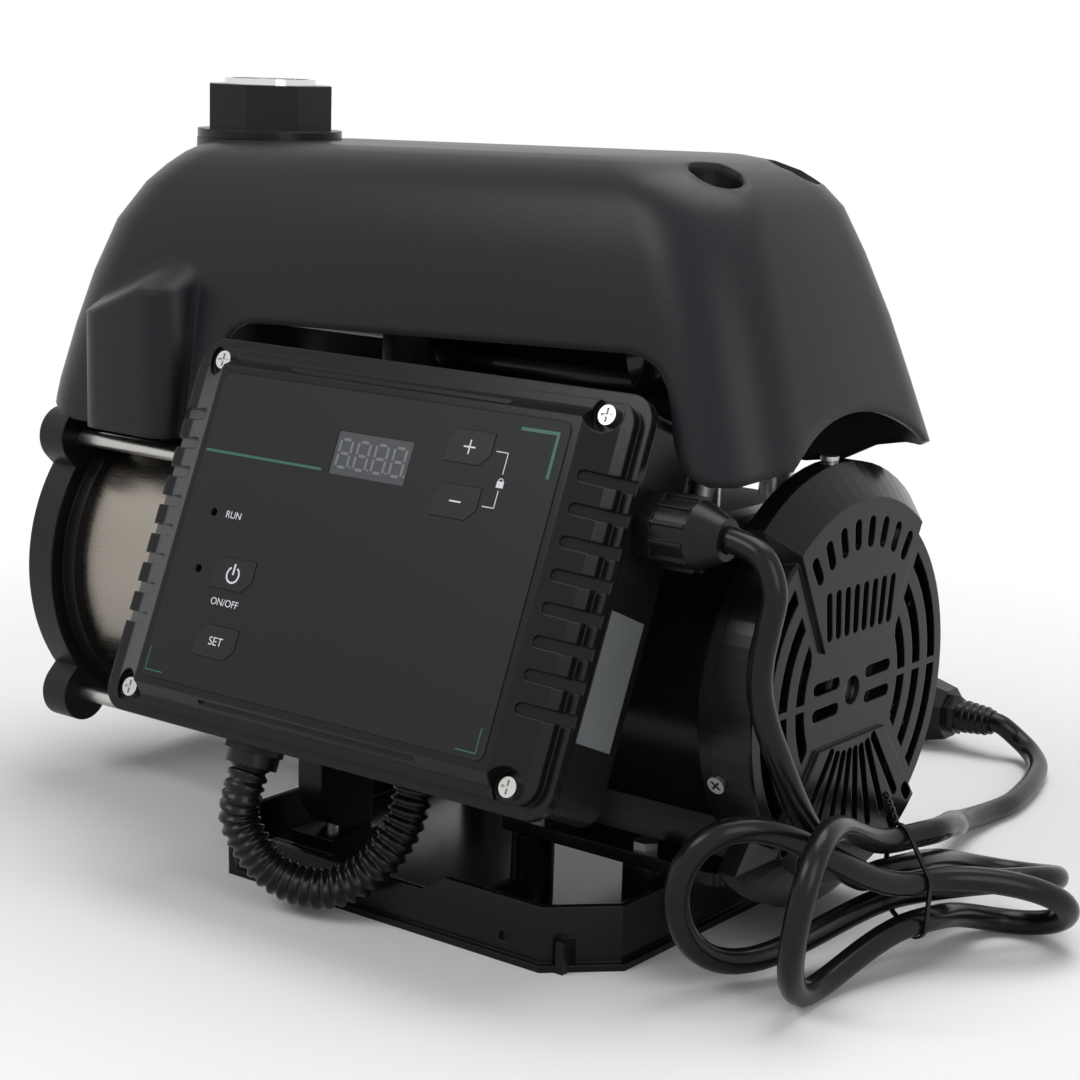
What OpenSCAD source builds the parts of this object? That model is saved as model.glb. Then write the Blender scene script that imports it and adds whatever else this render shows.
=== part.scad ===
// Domestic pressure booster pump: a multistage water end with a steel barrel, a fan-cooled motor,
// a moulded hood over the outlet pipework and a controller hung on the front.
// The origin is on the floor under the middle of the base tray, with +Z up. The shaft runs along X,
// with the fan at +X and the water inlet at -X, and the controller faces -Y.

/* [Shaft line] */
// Height of the shaft above the floor
shaft_height = 113; // [112:0.5:116]
// Distance from the middle of the base to the face of the fan cover
fan_face_reach = 164; // [161:1:168]
// Radius of the shaft
shaft_radius = 8; // [7:0.5:9]

/* [Water end] */
// Outside radius of the steel barrel
barrel_radius = 77; // [75:0.5:78]
// Wall of the steel barrel
barrel_wall = 1.5; // [1.2:0.1:2.5]
// Length of the barrel between the suction cover and the bracket
barrel_length = 163; // [155:1:170]
// Number of impellers
stage_count = 4; // [3:1:5]
// Radius of the impellers
impeller_radius = 56; // [50:1:60]
// Radius of the suction cover between its bosses
suction_cover_radius = 90; // [87:0.5:92]
// Thickness of the suction cover
cover_thickness = 17; // [14:1:20]
// Sideways and upward distance of each tie rod from the shaft
tie_rod_offset = 67.4; // [66.6:0.2:68]
// Radius of the tie rods
tie_rod_radius = 4; // [3:0.5:4.5]
// Radius of the bosses that hold the tie rods in the suction cover
cover_boss = 14.5; // [12:0.5:16]
// Radius of the bosses that hold the tie rods in the bracket
bracket_boss_radius = 13; // [11:0.5:14]
// Bore of the threaded inlet and outlet
port_bore_radius = 19.5; // [18:0.5:20.5]
// Reach of the inlet boss beyond the suction cover
inlet_reach = 22; // [18:1:26]

/* [Bracket] */
// Thickness of the bracket plate
bracket_thickness = 15; // [13:0.5:17]
// Radius of the bracket plate
bracket_radius = 83; // [82:0.5:84]
// Half width of the bracket foot
foot_half_width = 80.5; // [77:0.5:84]
// Height of the bracket foot above the floor
bracket_foot_height = 10; // [8:0.5:12]

/* [Motor] */
// Length of the motor housing
motor_length = 209; // [200:1:216]
// Outside radius of the motor housing
motor_radius = 70; // [68:0.5:72]
// Wall of the motor housing
motor_wall = 6; // [4:0.5:8]
// Thickness of the rear end shield
shield_thickness = 7; // [6:0.5:9]
// Radius of the rear end shield
shield_radius = 80; // [78:0.5:81.5]
// Length of the stator core
stator_length = 100; // [90:1:110]
// Radius of the rotor core
rotor_radius = 36; // [32:0.5:40]

/* [Fan cover] */
// Outside radius of the fan cover
fan_cover_radius = 82; // [80:0.5:84]
// Depth of the fan cover
fan_cover_depth = 20; // [18:0.5:24]
// Wall of the fan cover
fan_cover_wall = 2.5; // [2:0.1:3]
// Radius of the raised blocks at the face of the fan cover
block_face_radius = 87; // [85:0.5:89]
// Radius of the raised blocks behind their bevel
block_back_radius = 99; // [96:0.5:100]
// How far the raised blocks stand out of the face
block_raise = 2; // [1:0.5:3]
// Width of the arc slots in the grille
grille_slot_width = 7; // [5:0.5:8]
// Number of blades on the fan
fan_blade_count = 7; // [5:1:9]

/* [Motor foot] */
// Height of the underside of the motor foot
foot_height = 34; // [31:0.5:36]
// Thickness of the foot plate
foot_thickness = 6; // [4:0.5:8]
// Length of the foot plate
foot_length = 123; // [115:1:128]
// Width of the foot plate
foot_width = 130; // [120:1:140]

/* [Base tray] */
// Length of the tray along the shaft
base_length = 234; // [228:1:244]
// Width of the tray across the shaft
base_width = 246; // [240:1:252]
// Height of the tray wall
tray_wall_height = 20; // [16:0.5:22]
// Height of the raised wall at the fan end
tray_high_wall = 28; // [24:0.5:30]
// Wall of the tray
tray_wall = 3; // [2.5:0.1:4]
// Cut of the corners of the tray
tray_corner_cut = 26; // [20:1:32]

/* [Hood] */
// Height of the top of the hood
hood_top_height = 338; // [335:1:342]
// Height of the rim of the hood
hood_rim = 193; // [191:0.5:195]
// Half width of the hood at the rim
hood_half_width = 88; // [87:0.5:90]
// Reach of the hood past the base centre at the water end
hood_left_reach = 272; // [270:1:278]
// Reach of the hood past the base centre at the fan end
hood_right_reach = 170; // [166:1:174]
// Wall of the hood
hood_wall = 3; // [2.4:0.1:3.4]
// Fall of the crown from the fan end to the water end
hood_fall = 5; // [3:0.5:7]
// Radius of the upright corners of the hood
hood_corner_radius = 44; // [38:1:46]

/* [Outlet] */
// Distance of the outlet from the base centre
outlet_reach = 185.6; // [183:0.2:188]
// Radius of the round flange on the hood
flange_radius = 36; // [34:0.5:38]
// Radius over the corners of the outlet nut
outlet_nut_radius = 32.5; // [31:0.5:33.5]
// Height of the outlet nut above its flange
outlet_nut_height = 22; // [18:0.5:26]
// Outside radius of the chrome insert
insert_radius = 22.7; // [21.8:0.1:24]
// Radius of the pipe in the hood
riser_radius = 22; // [20.5:0.5:23]
// Bore of the pipe in the hood
riser_bore_radius = 17; // [15.5:0.5:18]
// Opening travel of the check valve
check_valve_travel = 6; // [4:0.5:8]
// Radius of the pressure tank
tank_radius = 44; // [40:0.5:46]
// Length of the pressure tank
tank_length = 128; // [115:1:132]

/* [Controller] */
// Tilt of the controller face from upright, in degrees
face_tilt = 22.28; // [21.5:0.1:23]
// Half width of the controller lid
lid_half_width = 127.5; // [126:0.5:129]
// Half height of the controller lid
lid_half_height = 89; // [87.5:0.5:90]
// Radius of the corners of the lid
lid_corner_radius = 12; // [8:0.5:14]
// Depth of the controller housing behind the lid screws
housing_depth = 45; // [42:0.5:45.5]
// Wall of the controller housing
housing_wall = 3; // [2.4:0.1:3.4]
// Height of the label film above the lid screws
film_level = 8; // [7:0.5:9]
// Half width of the label film
film_half_width = 98; // [96:0.5:99]
// Half height of the label film
film_half_height = 71; // [69:0.5:72]
// Width of a key
key_width = 24; // [22:0.5:26]
// Height of a key
key_height = 14.5; // [13:0.5:16]
// Travel of a key
key_travel = 0.5; // [0.4:0.05:0.6]
// Number of cooling slots at each side of the lid
lid_slot_count = 8; // [6:1:9]

/* [Mains lead] */
// Diameter of the mains lead
cord_diameter = 11; // [10:0.5:11.5]
// Radius over the corners of the gland hexagon
gland_radius = 16; // [15:0.5:17]
// Outside diameter of the ribbed conduit over its ribs
conduit_diameter = 19; // [17:0.5:20]
// Distance from rib to rib along the conduit
conduit_pitch = 4.8; // [4.4:0.1:6]

/* [Hidden] */

$fn = 72;
// Facets on the rounded parts of lofted shells
shell_fn = 32;

black = [0.05, 0.05, 0.055];
charcoal = [0.1, 0.1, 0.11];
steel = [0.75, 0.74, 0.73];

// Clearances: between fixed pieces that sit in each other, for running fits and between curved faces
seat_gap = 0.1;
slip = 0.05;
fit_gap = 0.3;
over = 1;

// Places along the shaft, from the fan to the inlet
fan_back_x = fan_face_reach - fan_cover_depth;
shield_x = fan_back_x - shield_thickness;
motor_x = shield_x - motor_length;
bracket_x = motor_x - bracket_thickness;
barrel_x = bracket_x - barrel_length;
cover_x = barrel_x - cover_thickness;
tie_rod_circle = tie_rod_offset * sqrt(2);

// Puts a drawing in the plane across the shaft: its x runs along +Y, its y along +Z and its height along +X
module on_shaft(x) translate([x, 0, shaft_height]) rotate([90, 0, 90]) children();

module up(z) translate([0, 0, z]) children();
module disc(r, h) cylinder(r = r, h = h);
module bore(r, h) up(-over) disc(r, h + 2 * over);

module ring(r_out, r_in, h) difference() {
  disc(r_out, h);
  bore(r_in, h);
}

module at_tie_rods() for (a = [45 : 90 : 315]) rotate(a) translate([tie_rod_circle, 0]) children();

module flange_shape(plate_radius, boss_radius) {
  circle(r = plate_radius);
  at_tie_rods() circle(r = boss_radius);
  for (a = [45 : 90 : 315]) rotate(a) translate([0, -boss_radius]) square([tie_rod_circle, 2 * boss_radius]);
}

module hexagon_bolt(shank_radius, shank_length, head_radius, head_height) {
  up(-shank_length) disc(shank_radius, shank_length);
  cylinder(r = head_radius, h = head_height, $fn = 6);
}

// Water end
barrel_seat_depth = 8;
barrel_seat_wall = 5;
inlet_boss_radius = 28;
inlet_thread_depth = 20;
inlet_eye_radius = 16;
plug_ring_radius = 62;
plug_hole_radius = 6;
tie_rod_hole_radius = tie_rod_radius + seat_gap;
nut_radius = 7.5;
nut_height = 7;
stage_inlet_gap = 12;
stage_outlet_gap = 17;
stage_pitch = (barrel_length - stage_inlet_gap - stage_outlet_gap) / stage_count;
stage_wall = 2;
impeller_hub_wall = 5;
impeller_hub_radius = shaft_radius + impeller_hub_wall;
impeller_width_share = 0.46;
vane_count = 6;
vane_thickness = 2;
shaft_nose = 8;
o_ring_radius = 1.3;

module suction_cover() color(black) difference() {
  union() {
    on_shaft(cover_x) linear_extrude(cover_thickness) flange_shape(suction_cover_radius, cover_boss);
    on_shaft(cover_x) disc(barrel_radius + barrel_seat_wall, cover_thickness + barrel_seat_depth);
    on_shaft(cover_x - inlet_reach) disc(inlet_boss_radius, inlet_reach + over);
  }
  on_shaft(barrel_x) disc(barrel_radius + seat_gap, barrel_seat_depth + over);
  on_shaft(cover_x - over) linear_extrude(cover_thickness + 2 * over) at_tie_rods()
    circle(r = tie_rod_hole_radius);
  on_shaft(cover_x - inlet_reach - over) disc(port_bore_radius, inlet_thread_depth + over);
  on_shaft(cover_x) disc(inlet_eye_radius, cover_thickness + over);
  on_shaft(cover_x - over) for (side = [-1, 1]) translate([0, side * plug_ring_radius])
    disc(plug_hole_radius + seat_gap, cover_thickness + 2 * over);
}

module pump_barrel() color(steel)
  on_shaft(barrel_x) ring(barrel_radius, barrel_radius - barrel_wall, barrel_length);

module tie_rods() color(steel)
  on_shaft(cover_x - nut_height - tie_rod_radius) linear_extrude(
    nut_height + tie_rod_radius + cover_thickness + barrel_length + bracket_thickness)
    at_tie_rods() circle(r = tie_rod_radius);

module tie_rod_nuts() color(steel)
  on_shaft(cover_x - nut_height) at_tie_rods() difference() {
    cylinder(r = nut_radius, h = nut_height, $fn = 6);
    bore(tie_rod_hole_radius, nut_height);
  }

module cover_plug(height) on_shaft(cover_x) translate([0, height]) rotate([0, 180, 0]) {
  up(-cover_thickness) disc(plug_hole_radius, cover_thickness);
  cylinder(r = nut_radius, h = nut_height, $fn = 6);
}

module drain_plug() color([0.78, 0.62, 0.3]) cover_plug(-plug_ring_radius);

module priming_plug() color([0.78, 0.62, 0.3]) cover_plug(plug_ring_radius);

// One impeller: two shrouds with swept vanes between them, on a hub that fills the stage
module impeller() difference() {
  union() {
    disc(impeller_hub_radius, stage_pitch - seat_gap);
    for (level = [stage_wall, stage_pitch * impeller_width_share])
      up(level) disc(impeller_radius, stage_wall);
    for (i = [0 : vane_count - 1]) rotate(i * 360 / vane_count)
      translate([impeller_hub_radius - over, -vane_thickness / 2, stage_wall]) rotate([0, 0, 38])
        cube([(impeller_radius - impeller_hub_radius) * 0.95, vane_thickness, stage_pitch * impeller_width_share]);
  }
  bore(shaft_radius + slip, stage_pitch);
}

module impellers() color([0.35, 0.3, 0.22])
  for (i = [0 : stage_count - 1]) on_shaft(barrel_x + stage_inlet_gap + i * stage_pitch) impeller();

// One diffuser: a cup that lines the barrel, with a plate after the impeller
module diffuser() difference() {
  disc(barrel_radius - barrel_wall - seat_gap, stage_pitch - seat_gap);
  up(-over) disc(impeller_radius + 2 * stage_wall, stage_pitch * 0.7 + over);
  disc(impeller_hub_radius + fit_gap, stage_pitch);
}

module diffusers() color([0.5, 0.48, 0.42])
  for (i = [0 : stage_count - 1]) on_shaft(barrel_x + stage_inlet_gap + i * stage_pitch) diffuser();

module barrel_o_rings() color(black)
  for (x = [barrel_x + stage_inlet_gap / 2, bracket_x - stage_outlet_gap / 2]) on_shaft(x)
    rotate_extrude() translate([barrel_radius - barrel_wall - o_ring_radius - seat_gap, 0]) circle(r = o_ring_radius);

// Seal and bearings
bearing_width = 12;
bearing_radius = 20;
bearing_race = 3.5;
ball_count = 7;
bearing_boss_radius = 30;
boss_depth = 14;
seal_seat_radius = 16;
seal_seat_depth = 8;
seal_gap_to_stage = 2;
seal_length = stage_outlet_gap - seal_gap_to_stage - slip;

module seal_rotating() color([0.15, 0.15, 0.16])
  on_shaft(bracket_x - slip - seal_length) ring(seal_seat_radius - over, shaft_radius + slip, seal_length);

module seal_seat() color(steel)
  on_shaft(bracket_x) ring(seal_seat_radius, shaft_radius + fit_gap, seal_seat_depth);

// A ball bearing: outer race, inner race and the balls between them
module bearing() {
  ball_circle = (shaft_radius + bearing_radius) / 2;
  ball_radius = (bearing_radius - shaft_radius) / 2 - bearing_race + over;
  for (r = [[bearing_radius, bearing_radius - bearing_race],
            [shaft_radius + slip + bearing_race, shaft_radius + slip]]) difference() {
    ring(r[0], r[1], bearing_width);
    up(bearing_width / 2) rotate_extrude() translate([ball_circle, 0])
      circle(r = ball_radius + slip);
  }
  for (i = [0 : ball_count - 1]) rotate(i * 360 / ball_count)
    translate([ball_circle, 0, bearing_width / 2]) sphere(r = ball_radius);
}

module front_bearing() color(steel)
  on_shaft(motor_x + boss_depth - bearing_width) bearing();

module rear_bearing() color(steel) on_shaft(shield_x - boss_depth) bearing();

// Bracket between the barrel and the motor, with its foot and the outlet boss on top
discharge_boss_radius = 23;
discharge_boss_rise = 24;
discharge_top = shaft_height + barrel_radius + discharge_boss_rise;
discharge_x = bracket_x + bracket_thickness / 2;
discharge_duct_radius = 5;
foot_corner = 26;
bracket_arch_half_width = 44;
bracket_arch_rise = 22;
pad_bolt_radius = 4;
bracket_bolt_place = (foot_half_width + bracket_arch_half_width) / 2;

module bracket_foot_shape() {
  drop = shaft_height - bracket_foot_height;
  translate([0, -drop]) difference() {
    union() {
      translate([-foot_half_width, foot_corner])
        square([2 * foot_half_width, drop - foot_corner]);
      for (side = [-1, 1]) translate([side * (foot_half_width - foot_corner), foot_corner])
        circle(r = foot_corner);
      translate([-foot_half_width + foot_corner, 0])
        square([2 * (foot_half_width - foot_corner), drop]);
    }
    translate([-bracket_arch_half_width, -over])
      square([2 * bracket_arch_half_width, bracket_arch_rise + over]);
  }
}

module at_pads(z) for (side = [-1, 1]) translate([discharge_x, side * bracket_bolt_place, z]) children();

module pump_bracket() color(black) difference() {
  union() {
    on_shaft(bracket_x) linear_extrude(bracket_thickness) {
      flange_shape(bracket_radius, bracket_boss_radius);
      bracket_foot_shape();
    }
    on_shaft(motor_x) disc(bearing_boss_radius, boss_depth);
    on_shaft(bracket_x - barrel_seat_depth) ring(barrel_radius + barrel_seat_wall, barrel_radius + seat_gap,
      barrel_seat_depth + over);
    translate([discharge_x, 0, shaft_height + barrel_radius + barrel_seat_wall])
      disc(discharge_boss_radius, discharge_top - shaft_height - barrel_radius - barrel_seat_wall);
  }
  on_shaft(bracket_x - over) linear_extrude(bracket_thickness + 2 * over) at_tie_rods()
    circle(r = tie_rod_hole_radius);
  on_shaft(bracket_x - over) disc(seal_seat_radius + seat_gap, seal_seat_depth + over);
  on_shaft(bracket_x) disc(shaft_radius + fit_gap, bracket_thickness + boss_depth + over);
  on_shaft(motor_x + boss_depth - bearing_width) disc(bearing_radius + slip, bearing_width + over);
  translate([discharge_x, 0, shaft_height + barrel_radius / 2])
    disc(discharge_duct_radius, discharge_top);
  translate([discharge_x, 0, discharge_top - barrel_seat_depth])
    disc(riser_bore_radius, barrel_seat_depth + over);
  at_pads(bracket_foot_height - over)
    disc(pad_bolt_radius + seat_gap, pad_bolt_depth + 2 * over);
}

// Motor
motor_bore_radius = motor_radius - motor_wall;
stator_x = motor_x + motor_length * 0.3;
winding_length = 22;
winding_radius_share = 0.84;
shaft_collar_wall = 4;
shaft_collar_radius = shaft_radius + shaft_collar_wall;
shaft_end_x = fan_face_reach - fan_cover_wall - 2 * fit_gap;

module shaft() color(steel) {
  on_shaft(barrel_x + shaft_nose) disc(shaft_radius, shaft_end_x - barrel_x - shaft_nose - over);
  on_shaft(stator_x - winding_length) difference() {
    disc(shaft_collar_radius, stator_length + 2 * winding_length);
    bore(shaft_radius - over, stator_length + 2 * winding_length);
  }
}

module rotor_core() color([0.45, 0.45, 0.46])
  on_shaft(stator_x) ring(rotor_radius, shaft_collar_radius + slip, stator_length);

module stator_core() color([0.4, 0.4, 0.42])
  on_shaft(stator_x) ring(motor_bore_radius - seat_gap, rotor_radius + fit_gap, stator_length);

module stator_windings() color([0.72, 0.38, 0.16])
  for (x = [stator_x - winding_length, stator_x + stator_length]) on_shaft(x)
    ring(motor_bore_radius * winding_radius_share, rotor_radius + 2 * over, winding_length);

module motor_housing() color(black)
  on_shaft(motor_x) ring(motor_radius, motor_bore_radius, motor_length);

spigot_depth = 5;
shield_screw_radius = 2;
shield_recess_radius = shield_radius - motor_wall;
shield_screw_angles = [-20, 90, 200];

module rear_end_shield() color(black) difference() {
  union() {
    on_shaft(shield_x) disc(shield_radius, shield_thickness);
    on_shaft(shield_x - boss_depth) disc(bearing_boss_radius, boss_depth + over);
    on_shaft(shield_x - spigot_depth) disc(motor_bore_radius - seat_gap, spigot_depth + over);
    on_shaft(fan_back_x - over) disc(fan_cover_radius - fan_cover_wall - seat_gap - over, spigot_depth + over);
  }
  on_shaft(shield_x - boss_depth - over) disc(shaft_radius + fit_gap, fan_cover_depth * 2);
  on_shaft(shield_x - boss_depth - over) disc(bearing_radius + slip, bearing_width + over);
  on_shaft(fan_back_x) disc(shield_recess_radius, spigot_depth + over);
  for (a = shield_screw_angles) on_shaft(fan_back_x + spigot_depth / 2) rotate(a) rotate([0, 90, 0])
    disc(shield_screw_radius, fan_cover_radius);
}

fan_gap = 5.5;
fan_hub_radius = 14;
fan_radius = shield_recess_radius - fan_gap;
fan_blade_thickness = 2;
fan_width = fan_cover_depth - fan_cover_wall - fan_gap;

module cooling_fan() color(charcoal)
  on_shaft(fan_back_x + spigot_depth / 2 + over / 2) difference() {
    union() {
      disc(fan_hub_radius, fan_width);
      up(fan_width / 3) disc(fan_radius * 0.55, fan_blade_thickness);
      for (i = [0 : fan_blade_count - 1]) rotate((i + 0.5) * 360 / fan_blade_count)
        translate([fan_hub_radius - fan_blade_thickness, -fan_blade_thickness / 2, seat_gap])
          cube([fan_radius - fan_hub_radius, fan_blade_thickness, fan_width - 2 * seat_gap]);
    }
    bore(shaft_radius + slip, fan_width);
  }

// Fan cover: a shallow cup with two raised blocks, arc slots at the sides and fanned slots in the blocks
block_bevel_depth = 11;
block_foot_share = 0.24;
block_foot_half_width = 30;
top_block_spread = 38;
bottom_block_spread = 45;
grille_pitch = 2 * grille_slot_width;
grille_outer_radius = fan_cover_radius - grille_slot_width;
grille_rib = 3;
centre_hole_radius = 6.5;
centre_slot_length = 22;
centre_slot_height = 5.5;
centre_slot_start = 11;
fanned_slot_width = 4.6;
fanned_slot_count = 8;
upper_slot_width = 5.6;

// Outline of a raised block, in the plane across the shaft, for a block above the shaft
module block_shape(radius, spread, margin) intersection() {
  circle(r = radius + margin);
  polygon([
    [-block_foot_half_width - margin, fan_cover_radius * block_foot_share - margin],
    [block_foot_half_width + margin, fan_cover_radius * block_foot_share - margin],
    [(radius + margin) * sin(spread) * 1.05 + margin, (radius + margin) * cos(spread) * 1.05],
    [0, 2 * radius],
    [-(radius + margin) * sin(spread) * 1.05 - margin, (radius + margin) * cos(spread) * 1.05]]);
}

module block_solid(spread, inset) hull() {
  up(fan_cover_depth + block_raise - inset - fan_cover_wall) linear_extrude(fan_cover_wall)
    block_shape(block_face_radius - inset, spread, -inset - block_raise);
  linear_extrude(fan_cover_depth - block_bevel_depth) block_shape(block_back_radius - inset, spread, -inset);
}

module rounded_slot(length, width, height) hull() for (end = [width / 2, length - width / 2])
  translate([end, 0]) cylinder(r = width / 2, h = height, $fn = 12);

module side_arcs() difference() {
  for (k = [0 : 2]) difference() {
    circle(r = grille_outer_radius - k * grille_pitch);
    circle(r = grille_outer_radius - k * grille_pitch - grille_slot_width);
  }
  block_shape(block_back_radius, top_block_spread, grille_rib);
  rotate(180) block_shape(block_back_radius, bottom_block_spread, grille_rib);
  square([3 * fan_cover_radius, grille_rib], center = true);
  square([2 * (centre_slot_start + centre_slot_length + grille_rib), fan_cover_radius], center = true);
}

module grille_slots(height) {
  linear_extrude(height) side_arcs();
  cylinder(r = centre_hole_radius, h = height, $fn = 24);
  for (side = [0, 180], level = [-1, 1]) rotate(side)
    translate([centre_slot_start, level * (centre_slot_height + grille_rib) / 2 + level * grille_rib / 2, 0])
      rounded_slot(centre_slot_length, centre_slot_height, height);
  for (i = [0 : fanned_slot_count - 1]) {
    spot = i - (fanned_slot_count - 1) / 2;
    rotate(90 - spot * 9.4) translate([fan_cover_radius * 0.77, 0]) rounded_slot(grille_pitch, upper_slot_width, height);
    translate([spot * (fanned_slot_width + grille_rib * 0.85), fan_cover_radius * 0.32, 0]) rotate(90 - spot * 2)
      rounded_slot(fan_cover_radius * 0.27, fanned_slot_width, height);
    rotate(-90 + spot * 10.5) translate([fan_cover_radius * (0.3 + 0.012 * abs(spot)), 0])
      rounded_slot(fan_cover_radius * 0.52, fanned_slot_width, height);
    if (abs(spot) > 2) rotate(-90 + spot * 12) translate([fan_cover_radius * 0.88, 0])
      rounded_slot(fan_cover_radius * 0.13, fanned_slot_width * 1.3, height);
  }
}

module fan_cover() color(black) on_shaft(fan_back_x) difference() {
  union() {
    cylinder(r = fan_cover_radius, h = fan_cover_depth - over, $fn = 96);
    up(fan_cover_depth - over)
      cylinder(r1 = fan_cover_radius, r2 = fan_cover_radius - over, h = over, $fn = 96);
    block_solid(top_block_spread, 0);
    rotate(180) block_solid(bottom_block_spread, 0);
  }
  up(-over) {
    cylinder(r = fan_cover_radius - fan_cover_wall, h = fan_cover_depth - fan_cover_wall + over, $fn = 96);
    block_solid(top_block_spread, fan_cover_wall);
    rotate(180) block_solid(bottom_block_spread, fan_cover_wall);
  }
  up(fan_cover_depth / 2) grille_slots(fan_cover_depth);
  for (a = shield_screw_angles) up(spigot_depth / 2) rotate(a) rotate([0, 90, 0])
    cylinder(r = shield_screw_radius + seat_gap, h = block_back_radius + over, $fn = 16);
}

module fan_cover_screws() color(steel)
  for (a = shield_screw_angles) on_shaft(fan_back_x + spigot_depth / 2) rotate(a) rotate([0, 90, 0]) {
    seat = a == 90 ? block_back_radius : fan_cover_radius;
    up(fan_cover_radius - 3 * fan_cover_wall)
      disc(shield_screw_radius - slip, seat - fan_cover_radius + 3 * fan_cover_wall);
    up(seat) disc(2 * shield_screw_radius, shield_screw_radius);
  }

// Lofted shells: rounded rectangles, one above the other, joined by straight bands
arc_steps = 10;

function rounded_ring(left, right, half, radius, z, slope) = [
  for (c = [[right - radius, half - radius, 0], [left + radius, half - radius, 90],
            [left + radius, radius - half, 180], [right - radius, radius - half, 270]])
    for (k = [0 : arc_steps])
      let (a = c[2] + 90 * k / arc_steps, x = c[0] + radius * cos(a))
        [x, c[1] + radius * sin(a), z - slope * (right - x)]];

module loft(rings) for (i = [0 : len(rings) - 2]) {
  n = len(rings[i]);
  hull() polyhedron(points = concat(rings[i], rings[i + 1]),
    faces = [[for (k = [0 : n - 1]) k], [for (k = [0 : n - 1]) 2 * n - 1 - k]]);
}

// Motor foot: a plate with four bolt holes and a waisted pedestal up to the motor
foot_right_x = fan_back_x - over;
foot_x = foot_right_x - foot_length;
foot_corner_radius = 8;
foot_bolt_inset_x = 16;
foot_bolt_inset_y = 8.5;
foot_bolt_x = [foot_x + foot_bolt_inset_x, base_length / 2 - tray_wall - foot_bolt_inset_x];
foot_bolt_y = foot_width / 2 - foot_bolt_inset_y;
foot_bolt_radius = 3.5;
foot_bolt_head = 6;
// Shares of the pedestal: height between plate and shaft, left end, half width
pedestal_shares = [[0, 0.17, 0.34], [0.08, 0.21, 0.335], [0.2, 0.28, 0.33], [0.34, 0.34, 0.33],
  [0.48, 0.37, 0.35], [0.62, 0.385, 0.385], [0.76, 0.39, 0.43], [0.9, 0.39, 0.475], [1, 0.39, 0.5]];

module at_foot_bolts(z) for (x = foot_bolt_x, side = [-1, 1]) translate([x, side * foot_bolt_y, z]) children();

module motor_foot() color(black) difference() {
  union() {
    up(foot_height) linear_extrude(foot_thickness) difference() {
      hull() for (x = [foot_x + foot_corner_radius, foot_right_x - foot_corner_radius], side = [-1, 1])
        translate([x, side * (foot_width / 2 - foot_corner_radius)]) circle(r = foot_corner_radius, $fn = shell_fn);
      at_foot_bolts(0)
        circle(r = foot_bolt_radius + seat_gap, $fn = 24);
    }
    loft([for (s = pedestal_shares) rounded_ring(foot_x + s[1] * foot_length, foot_right_x, s[2] * foot_width,
      foot_corner_radius, foot_height + foot_thickness + s[0] * (shaft_height - foot_height - foot_thickness)
        * 0.8, 0)]);
  }
  on_shaft(foot_x - over) disc(motor_radius + fit_gap, shield_x - foot_x + over);
  on_shaft(shield_x) disc(shield_radius + fit_gap, fan_cover_depth);
}

// Outlet pipework under the hood
riser_x = -outlet_reach;
manifold_z = 262;
crown_z = hood_top_height - hood_fall;
port_neck_radius = 25;
port_neck_depth = 16;
port_neck_bottom = crown_z - port_neck_depth;
outlet_flange_thickness = 4.5;
outlet_top = crown_z + outlet_flange_thickness + outlet_nut_height;
insert_proud = 3;
insert_depth = 26;
valve_disc_thickness = 4;
seat_thickness = 4;
valve_seat_height = manifold_z + riser_radius + seat_thickness;
valve_disc_gap = 2;
valve_seat_ledge = 5;
valve_disc_radius = riser_bore_radius - valve_disc_gap;
valve_stem_radius = 3;
valve_seat_bore_radius = riser_bore_radius - valve_seat_ledge;
tank_gap = 6;
tank_x = discharge_x + riser_radius + tank_gap;
tank_neck_radius = 9;
tank_neck_wall = 4;
sensor_radius = 10;
sensor_height = 24;
sensor_x = (riser_x + discharge_x) / 2;

module at_riser(z) translate([riser_x, 0, z]) children();

module riser_run(radius, margin) {
  at_riser(manifold_z) disc(radius, port_neck_bottom - manifold_z + margin);
  at_riser(manifold_z) rotate([0, 90, 0]) disc(radius, discharge_x - riser_x);
  translate([discharge_x, 0, discharge_top - margin])
    disc(radius, manifold_z - discharge_top + margin);
  for (x = [riser_x, discharge_x]) translate([x, 0, manifold_z]) sphere(r = radius);
}

module outlet_riser() color(charcoal) difference() {
  union() {
    riser_run(riser_radius, 0);
    translate([discharge_x, 0, manifold_z]) rotate([0, 90, 0])
      disc(tank_neck_radius + tank_neck_wall, riser_radius + tank_gap / 2);
    translate([sensor_x, 0, manifold_z]) disc(sensor_radius, riser_radius + over * 3);
  }
  difference() {
    riser_run(riser_bore_radius, over);
    at_riser(valve_seat_height - seat_thickness) ring(riser_bore_radius + over, valve_seat_bore_radius,
      seat_thickness);
  }
  translate([discharge_x, 0, manifold_z]) rotate([0, 90, 0])
    disc(tank_neck_radius + seat_gap, riser_radius + 2 * tank_gap);
  translate([sensor_x, 0, manifold_z]) disc(sensor_radius / 2, 2 * riser_radius);
}

module outlet_port() color(black) difference() {
  union() {
    at_riser(port_neck_bottom) disc(port_neck_radius, port_neck_depth + over);
    at_riser(crown_z) disc(flange_radius, outlet_flange_thickness);
    at_riser(crown_z) rotate(22.5)
      cylinder(r = outlet_nut_radius, h = outlet_top - crown_z, $fn = 8);
  }
  at_riser(port_neck_bottom - over)
    disc(riser_bore_radius, spring_top - port_neck_bottom + over);
  at_riser(port_neck_bottom - over) disc(spring_radius - spring_wire, outlet_top);
  at_riser(outlet_top - insert_depth) disc(insert_radius + slip, insert_depth + over);
}

module outlet_insert() color(steel)
  at_riser(outlet_top - insert_depth) ring(insert_radius, port_bore_radius, insert_depth + insert_proud);

module check_valve_poppet() color(charcoal) at_riser(valve_seat_height) {
  disc(valve_disc_radius, valve_disc_thickness);
  disc(valve_stem_radius, 3 * valve_disc_thickness);
}

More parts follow.
